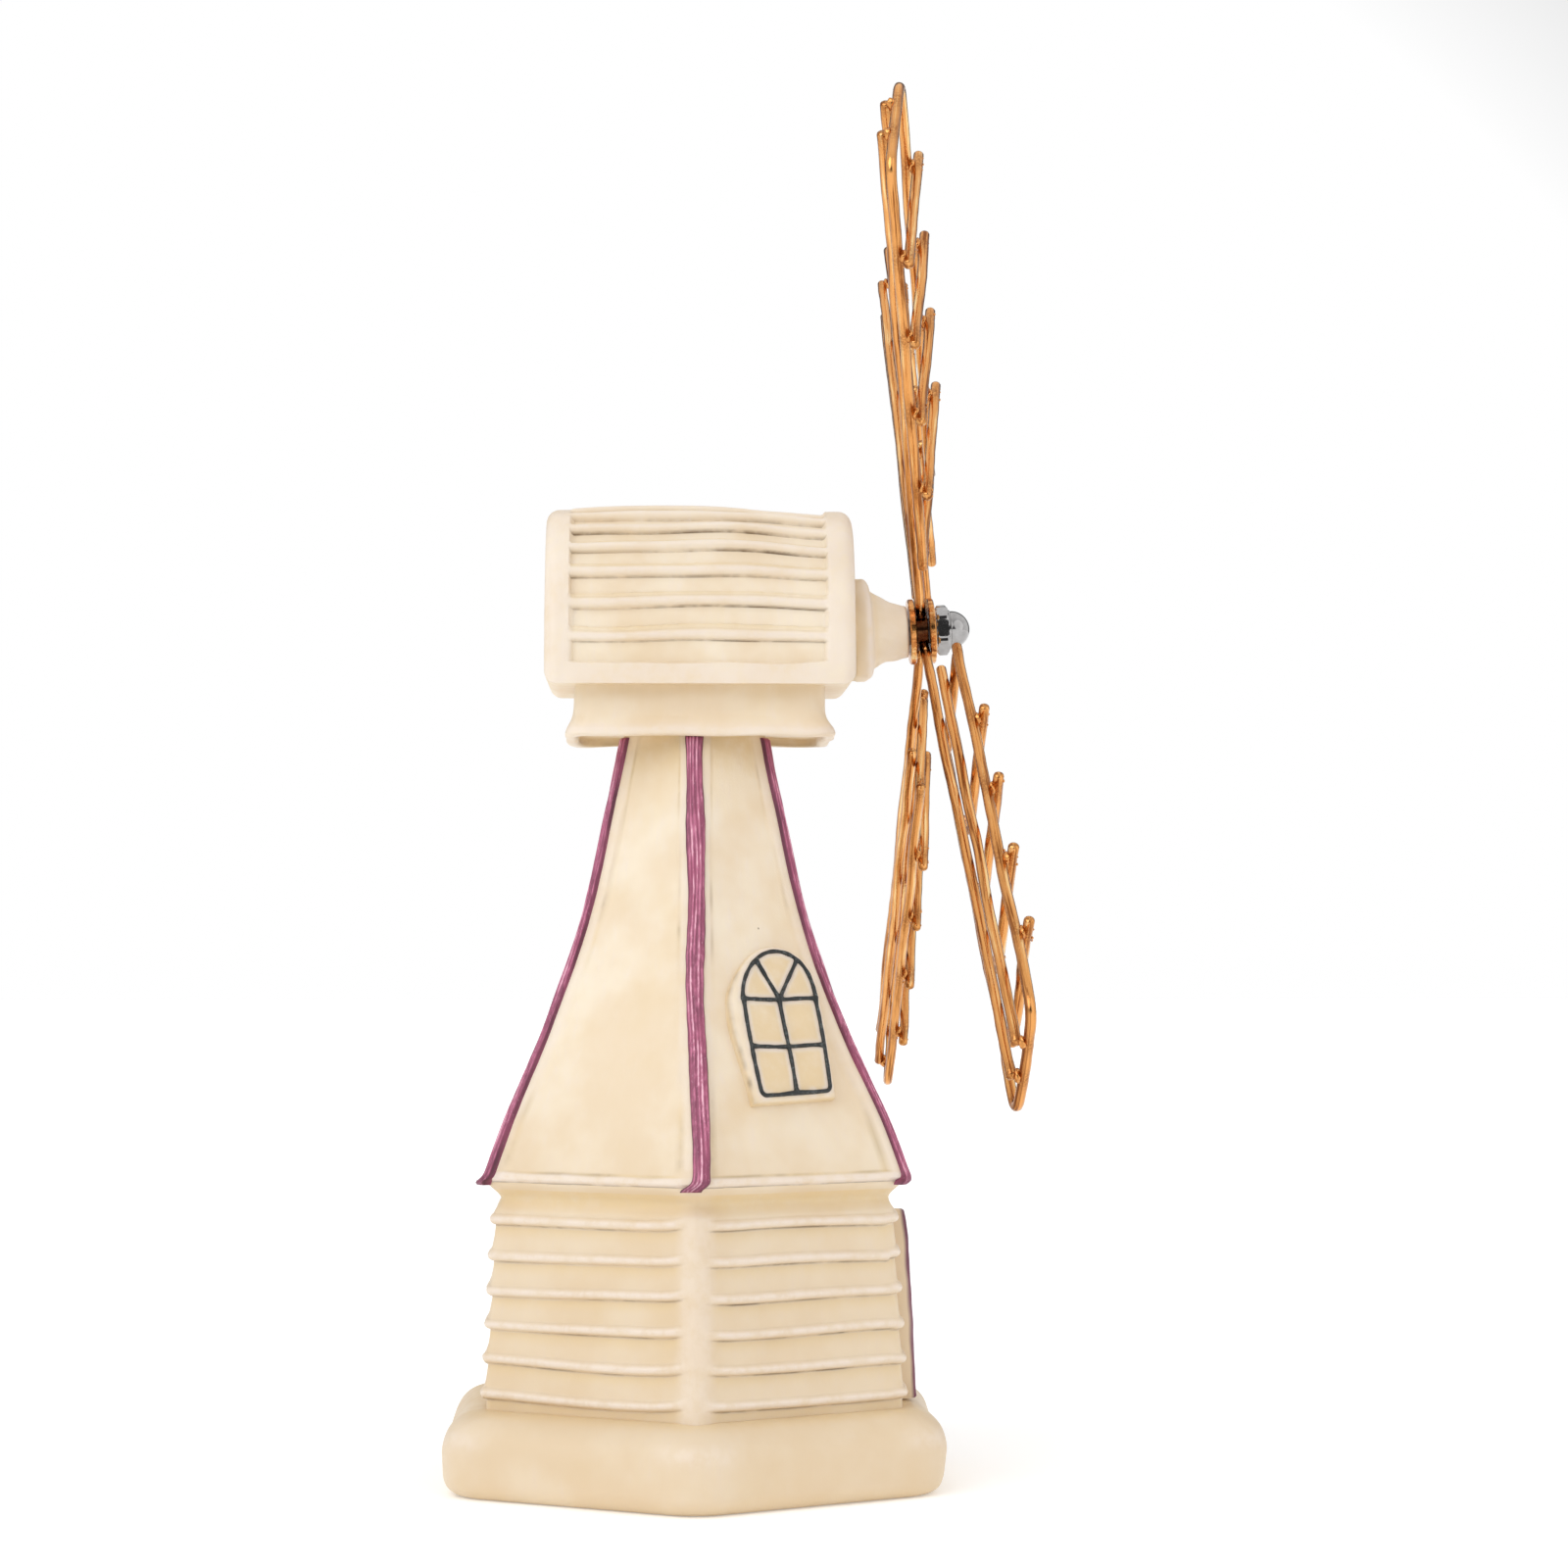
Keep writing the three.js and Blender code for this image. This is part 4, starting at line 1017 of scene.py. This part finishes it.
def nose_shape():
    t = np.linspace(0, 1, 26)
    cone_radius = NOSE_TIP + (NOSE_ROOT - NOSE_TIP) * (1 - t) ** 2
    cone_height = NOSE_COLLAR_FRONT + 0.15 + t * (NOSE_END - NOSE_COLLAR_FRONT - 0.3)
    cone = np.column_stack([cone_radius, cone_height])
    turn = np.linspace(0, math.pi / 2, 10)
    edge = 1.5
    collar_radius = NOSE_COLLAR - edge + edge * np.cos(turn)
    collar = np.column_stack([collar_radius, NOSE_COLLAR_FRONT - edge + edge * np.sin(turn)])
    rim = NOSE_COLLAR - 0.1
    back = [(STUD_BORE, NOSE_BACK), (rim, NOSE_BACK), (rim, -11.2), (NOSE_COLLAR, -10.8)]
    tip = [(NOSE_TIP - 0.15, NOSE_END), (STUD_BORE, NOSE_END), (STUD_BORE, NOSE_END - 1.5)]
    profile = np.concatenate([back, collar, cone, tip])
    height = profile[:, 1]
    # painted shade by the joint with the head and in front of the collar, painted shadow in the joints, and
    # painted highlight on the collar and cone, each partly wash, line and dry brush
    wash = 0.85 * (1 - smooth(height, -11.3, -10.3)) + 0.4 * bump_at(height, NOSE_COLLAR_FRONT + 0.5, 0.5)
    dry = 0.8 * bump_at(height, NOSE_COLLAR_FRONT - 0.5, 0.7) + 0.35 * smooth(height, -8.5, -4)
    line = 0.55 * bump_at(height, -11.35, 0.18) + 0.3 * bump_at(height, NOSE_END, 0.2)
    paint = {"wash": wash, "dry": dry, "line": line}
    points, faces, masks = turned(profile, masks=paint, uneven=0.16, seed=150)
    points[:, 0] += 0.75 * smooth(-points[:, 2], 3, 8.5)
    return points, faces, masks


make_piece("nose_casting", nose_shape(), cream, "mill", "cream_resin", "nose_cone", matrix=in_metres(axle))


DISC_RADIUS, DISC_THICK, DISC_OFFSET, DISC_BORE = 5.25, 1.0, 1.55, 2.08
BUSH_RADIUS = 3.1


def ring_shape(outer, inner, low, high, bevel, dark, gap_shadow_heights):
    """A washer with bevelled edges, turned round local Z: its faces at the shadowed heights are blackened, a
    painted shadow.
    """
    profile = (
        (inner, low + bevel), (inner + bevel, low), ((inner + outer) / 2, low), (outer - bevel, low),
        (outer, low + bevel), (outer, high - bevel), (outer - bevel, high), ((inner + outer) / 2, high),
        (inner + bevel, high), (inner, high - bevel),
    )
    rows, sides = len(profile), 72
    angles = np.linspace(0, 2 * math.pi, sides, endpoint=False)
    rings = np.array([[(r * math.cos(a), r * math.sin(a), z) for a in angles] for r, z in profile])
    faces = quads(rows, sides)
    last = (rows - 1) * sides
    faces += [[last + i, last + (i + 1) % sides, (i + 1) % sides, i] for i in range(sides)]
    painted_gap_shadow = np.repeat([0.9 if z in gap_shadow_heights else 0.0 for _, z in profile], sides)
    return rings.reshape(-1, 3), faces, {"solder": np.full(rows * sides, dark), "painted_gap_shadow": painted_gap_shadow}


def add_hub():
    half = DISC_THICK / 2
    place = in_metres(axle)
    for name, middle in (("rear", -DISC_OFFSET), ("front", DISC_OFFSET)):
        # painted shadow on each disc's face toward the other disc
        inner_face = middle - half if name == "front" else middle + half
        disc = ring_shape(DISC_RADIUS, DISC_BORE, middle - half, middle + half, 0.18, 0.35, (inner_face,))
        node = f"hub_disc_{name}"
        make_piece(f"{name}_disc", disc, copper_disc, "rotor", "copper_disc", node, matrix=place, crease=25)
    bush_half = DISC_OFFSET - half - 0.1
    bevel = 0.12
    # painted shadow: the bush in the gap between the discs is darkened all over and its walls blackened
    gap_shadow_heights = (bevel - bush_half, bush_half - bevel)
    bush = ring_shape(BUSH_RADIUS, DISC_BORE, -bush_half, bush_half, bevel, 1.0, gap_shadow_heights)
    make_piece("bush", bush, copper_disc, "rotor", "copper_disc", "hub_bush", matrix=place, crease=25)


add_hub()

NUT_FLATS, NUT_BACK, NUT_HEX, NUT_DOME = 7.0, 2.35, 2.0, 3.0


def dome_nut_shape():
    """A chamfered hexagon with one flat to each side, a thin shoulder and a round dome."""
    sides = 96
    angles = np.linspace(0, 2 * math.pi, sides, endpoint=False)
    to_flat = (angles - math.pi / 2 + HALF_SIDE) % (2 * HALF_SIDE) - HALF_SIDE
    hexagon = NUT_FLATS / 2 / np.cos(to_flat)
    front = NUT_BACK + NUT_HEX
    rows = [(None, STUD_BORE, front + 1.6), (None, STUD_BORE, NUT_BACK)]
    chamfers = ((3.5, 0), (3.7, 0.12), (4.1, 0.4))
    rows += [("hex", limit, NUT_BACK + rise) for limit, rise in chamfers]
    rows += [("hex", limit, front - rise) for limit, rise in chamfers[::-1]]
    rows += [(None, 3.2, front + 0.02), (None, 3.2, front + 0.25), (None, 3.02, front + 0.36)]
    for turn in np.linspace(0, math.pi / 2, 20)[:-1]:
        rows.append((None, NUT_DOME * math.cos(turn), front + 0.45 + NUT_DOME * math.sin(turn)))
    rows.append((None, 0.06, front + 0.45 + NUT_DOME))
    rings = []
    for kind, limit, z in rows:
        radius = np.minimum(hexagon, limit) if kind else np.full(sides, limit)
        rings.append(np.column_stack([radius * np.cos(angles), radius * np.sin(angles), np.full(sides, z)]))
    return loft(rings)


make_piece(
    "chrome_dome_nut",
    dome_nut_shape(),
    chrome,
    "mill",
    "chrome_nut",
    "dome_nut",
    matrix=in_metres(axle),
    crease=22,
)
for name in ("axle_stud", "anchor_nut"):
    for i in range(len(frame["nodes"][name].material_slots)):
        frame["nodes"][name].material_slots[i].material = zinc


# ---- sails ----
WIRE = 0.8
LAYER = 1.7  # from one layer of wires to the next
ROOT_RADIUS, WIRE_END, STOCK_TIP = 3.6, 95, -1.6
FRAME_INNER, FRAME_TIP, FRAME_CORNER = 20, 95, 3
TRAILING_RAIL, MIDDLE_RAIL, LEADING_RAIL = 7.0, -8.9, -15.1
MIDDLE_RAIL_START, INNER_BAR, WELD_GAP = 18.4, 21, 0.1
FIRST_BAR, BAR_PITCH, BARS = 36.2, 14.56, 4
BAR_FROM, BAR_TO = 9, -17.5
# turn round the hub, bend out of its plane and pitch, in degrees, and the stock's shift to one disc
SAILS = (
    (47.4, -4.2, 8.6, -0.2),
    (137.9, 2.1, 3.5, 0.2),
    (227.7, -3.8, -6.9, -0.2),
    (317.1, 1.2, 4.2, 0.2),
)


def wire_shape(path, radius, seed, wobble=0.12, sides=14, joints=()):
    """A drawn wire with rounded ends along a path. The joints are points where it is soldered."""
    path = np.asarray(path, float)
    length = np.concatenate([[0], np.cumsum(np.linalg.norm(np.diff(path, axis=0), axis=1))])
    count = max(12, int(length[-1] / 1.1))
    at = np.linspace(0, length[-1], count)
    line = np.column_stack([np.interp(at, length, path[:, k]) for k in range(3)])
    drift = np.column_stack([ripple(seed + k, at / 33) for k in range(3)])
    ends = smooth(at, 0, 5) * smooth(length[-1] - at, 0, 5)
    line = line + wobble * drift * ends[:, None]
    tangent = np.gradient(line, axis=0)
    tangent /= np.linalg.norm(tangent, axis=1)[:, None]
    up = np.array([0.0, 0.0, 1.0])
    angles = np.linspace(0, 2 * math.pi, sides, endpoint=False)
    cap = [(-0.5, 0.35), (-0.42, 0.66), (-0.22, 0.92)]
    stations = [(line[0] + tangent[0] * radius * back, tangent[0], share) for back, share in cap]
    swell = 1 + 0.03 * ripple(seed + 9, at / 6)
    stations += [(p, t, s) for p, t, s in zip(line, tangent, swell)]
    stations += [(line[-1] - tangent[-1] * radius * back, tangent[-1], share) for back, share in cap[::-1]]
    rings, solder, run = [], [], []
    for point, along, share in stations:
        side = np.cross(up, along)
        side /= np.linalg.norm(side)
        over = np.cross(along, side)
        circle = np.cos(angles)[:, None] * side + np.sin(angles)[:, None] * over
        rings.append(point + circle * radius * share)
        near = min([np.linalg.norm(point - j) for j in joints], default=99.0)
        solder.append(np.full(sides, float(np.exp(-((near / 2.1) ** 2)))))
        run.append(np.full(sides, 0.05 * np.linalg.norm(point - line[0]) + seed * 0.37))
    # painted shade on the wire's front and back sides, darker at the back
    rim = np.abs(np.sin(angles)) ** 4 * np.where(np.sin(angles) < 0, 0.85, 0.6)
    masks = {"solder": np.array(solder), "run": np.array(run), "patina": rim}
    masks.update(round_x=1.1 * np.cos(angles), round_y=1.1 * np.sin(angles))
    return loft(rings, masks)


def blob_shape(centre, size, seed, rings=9, sides=14):
    """A drop of solder: a squashed, lumpy ball."""
    turn = np.linspace(0.12, math.pi - 0.12, rings)[:, None]
    angles = np.linspace(0, 2 * math.pi, sides, endpoint=False)[None, :]
    x, y = np.sin(turn) * np.cos(angles), np.sin(turn) * np.sin(angles)
    z = -np.cos(turn) + 0 * angles
    lump = 1 + 0.16 * ripple(seed, x * 0.9, y * 0.9, z * 0.9)
    ball = np.stack([x, y, z], -1) * lump[..., None] * np.asarray(size)
    return loft(ball + centre, {"solder": np.full((rings, sides), 0.5)})


def solder_drop(centre, seed):
    """A plain drop where one wire ends at another."""
    return blob_shape(centre, (0.98, 1.0, 0.62), seed)


def solder_crossing(centre, seed):
    """A drop between two crossing wires, with a few beads of spatter lying on them."""
    rng = np.random.default_rng(seed)
    parts = [solder_drop(centre, seed)]
    for _ in range(rng.integers(5, 9)):
        way, angle = rng.uniform(0.5, 1.8), rng.uniform(0, 2 * math.pi)
        size = rng.uniform(0.1, 0.26)
        on_wire = rng.random() < 0.5
        shift = (way, 0.35 * math.sin(angle)) if on_wire else (0.35 * math.cos(angle), way)
        flip = rng.choice((-1, 1))
        height = WIRE * 0.9 + (-LAYER / 2 if on_wire else LAYER / 2)
        spot = centre + np.array([shift[0] * flip, shift[1] * flip, height])
        parts.append(blob_shape(spot, (size, size, size * 0.8), seed + 17, 5, 8))
    return join(parts)


def sail_matrix(turn, bend, pitch, shift):
    """From a sail's own plane, with X out along the stock and Z to the front, to the row frame."""
    spin = Matrix.Rotation(math.radians(turn), 4, "Z")
    rim = Matrix.Translation((DISC_RADIUS, 0, shift))
    lean = Matrix.Rotation(-math.radians(bend), 4, "Y") @ Matrix.Rotation(-math.radians(pitch), 4, "X")
    return axle @ spin @ rim @ lean @ Matrix.Translation((-DISC_RADIUS, 0, 0))


def frame_route():
    """The bent frame: in along the trailing side, round the tip and back along the leading side."""
    route = [(FRAME_INNER, TRAILING_RAIL)]
    x = FRAME_TIP - FRAME_CORNER
    for y, start in ((TRAILING_RAIL - FRAME_CORNER, 90), (LEADING_RAIL + FRAME_CORNER, 0)):
        for angle in np.radians(np.linspace(start, start - 90, 9)):
            route.append((x + FRAME_CORNER * math.cos(angle), y + FRAME_CORNER * math.sin(angle)))
    route.append((FRAME_INNER, LEADING_RAIL))
    return [(x, y, LAYER) for x, y in route]


def add_sail(number, place):
    matrix = in_metres(sail_matrix(*place))
    bars = [FIRST_BAR + i * BAR_PITCH for i in range(BARS)]
    rails = (TRAILING_RAIL, LEADING_RAIL)
    crossings = [np.array([x, y, 1.5 * LAYER]) for x in bars for y in rails]
    inner_ends = (TRAILING_RAIL - WIRE - WELD_GAP, LEADING_RAIL + WIRE + WELD_GAP)
    ends = [np.array([INNER_BAR, y, LAYER]) for y in inner_ends]
    ends += [np.array([FRAME_TIP, y, 0.5 * LAYER]) for y in (STOCK_TIP, MIDDLE_RAIL)]
    ends += [np.array([DISC_RADIUS - 0.6, 0, 0])]
    joints = crossings + ends
    seed = 1000 * number

    def wire(piece, path, offset):
        shape = wire_shape(path, WIRE, seed + offset, joints=joints)
        name, node = f"wire_{number}_{piece}", f"sail_{number}_{piece}"
        make_piece(name, shape, copper_wire, "rotor", "copper_wire", node, matrix=matrix, crease=60)

    wire("stock", [(ROOT_RADIUS, 0, 0), (WIRE_END, STOCK_TIP, 0)], 10)
    wire("middle_rail", [(MIDDLE_RAIL_START, MIDDLE_RAIL, 0), (WIRE_END, MIDDLE_RAIL, 0)], 20)
    wire("frame", frame_route(), 30)
    wire("inner_bar", [(INNER_BAR, y, LAYER) for y in inner_ends], 40)
    for i, x in enumerate(bars):
        wire(f"bar_{i + 1}", [(x, BAR_FROM, 2 * LAYER), (x, BAR_TO, 2 * LAYER)], 50 + 10 * i)
    drops = [solder_crossing(centre, seed + 200 + i) for i, centre in enumerate(crossings)]
    drops += [solder_drop(centre, seed + 300 + i) for i, centre in enumerate(ends)]
    make_piece(f"solder_{number}", join(drops), copper_wire, "rotor", "copper_wire", matrix=matrix, crease=60)


for number, place in enumerate(SAILS, 1):
    add_sail(number, place)


# ---- stage: floor, light and camera ----
def add_floor():
    p = Paint("pale_floor", roughness=0.9)
    p.shader.inputs["Emission Color"].default_value = (1, 1, 1, 1)
    p.shader.inputs["Emission Strength"].default_value = 0.2
    colour = p.mix(p.noise(0.004), (0.93, 0.93, 0.93), (0.95, 0.95, 0.95))
    p.finish(colour)
    size = 6
    mesh = bpy.data.meshes.new("floor")
    corners = [(-size, -size, 0), (size, -size, 0), (size, size, 0), (-size, size, 0)]
    mesh.from_pydata(corners, [], [[0, 1, 2, 3]])
    mesh.materials.append(p.material)
    floor = bpy.data.objects.new("floor", mesh)
    bpy.context.scene.collection.objects.link(floor)


# brightness of the surroundings along X: from and to which X, then the brightness at each
WORLD_RAMPS = ((-1.0, 0.25, 0.62, 1.0), (-0.985, -0.86, 0.1, 1.0), (0.6, 0.76, 1.0, 0.12))


def add_world():
    """A white backdrop, dark flags beside it that edge the metal, and an unlit middle opposite it."""
    world = bpy.data.worlds.new("studio")
    world.use_nodes = True
    tree = world.node_tree
    background = tree.nodes["Background"]
    where = tree.nodes.new("ShaderNodeTexCoord")
    split = tree.nodes.new("ShaderNodeSeparateXYZ")
    tree.links.new(where.outputs["Generated"], split.inputs[0])
    levels = []
    for values in WORLD_RAMPS:
        ramp = tree.nodes.new("ShaderNodeMapRange")
        ramp.interpolation_type = "SMOOTHSTEP"
        for i, value in enumerate(values):
            ramp.inputs[i + 1].default_value = value
        tree.links.new(split.outputs["X"], ramp.inputs[0])
        levels.append(ramp.outputs[0])
    total = levels[0]
    for value in levels[1:]:
        level = tree.nodes.new("ShaderNodeMath")
        level.operation = "MULTIPLY"
        tree.links.new(total, level.inputs[0])
        tree.links.new(value, level.inputs[1])
        total = level.outputs[0]
    level = tree.nodes.new("ShaderNodeMath")
    level.operation = "MAXIMUM"
    backdrop = tree.nodes.new("ShaderNodeMapRange")
    for i, value in enumerate((0.86, 0.95, 0.0, 1.0)):
        backdrop.inputs[i + 1].default_value = value
    tree.links.new(split.outputs["X"], backdrop.inputs[0])
    tree.links.new(total, level.inputs[0])
    tree.links.new(backdrop.outputs[0], level.inputs[1])
    tree.links.new(level.outputs[0], background.inputs["Color"])
    background.inputs["Strength"].default_value = 1.0
    bpy.context.scene.world = world


def add_light(name, come_from, spread, strength):
    """Soft even light from a direction, with a spread in degrees."""
    data = bpy.data.lights.new(name, "SUN")
    data.angle = math.radians(spread)
    data.energy = strength
    light = bpy.data.objects.new(name, data)
    light.rotation_euler = (-Vector(come_from)).to_track_quat("-Z", "Y").to_euler()
    bpy.context.scene.collection.objects.link(light)


def add_camera():
    distance, height = 575.1, 82.7
    stand, swing, tip = math.radians(0.66), math.radians(1.43), math.radians(2.71)
    focal_share = 2.2957  # focal length over the frame's width
    data = bpy.data.cameras.new("camera")
    data.sensor_width = 36
    data.lens = 36 * focal_share
    data.clip_start, data.clip_end = 0.02, 50
    camera = bpy.data.objects.new("camera", data)
    camera.location = Vector((-distance * math.cos(stand), distance * math.sin(stand), height)) * MM
    turn = stand + swing
    forward = Vector((math.cos(turn) * math.cos(tip), -math.sin(turn) * math.cos(tip), math.sin(tip)))
    camera.rotation_euler = forward.to_track_quat("-Z", "Y").to_euler()
    bpy.context.scene.collection.objects.link(camera)
    bpy.context.scene.camera = camera


add_floor()
add_world()
add_light("key", (-0.8, 0.6, 0.8), 50, 0.95)
add_light("fill", (-0.8, -0.9, 0.5), 60, 0.4)
add_camera()
bpy.context.scene.view_settings.view_transform = "Standard"
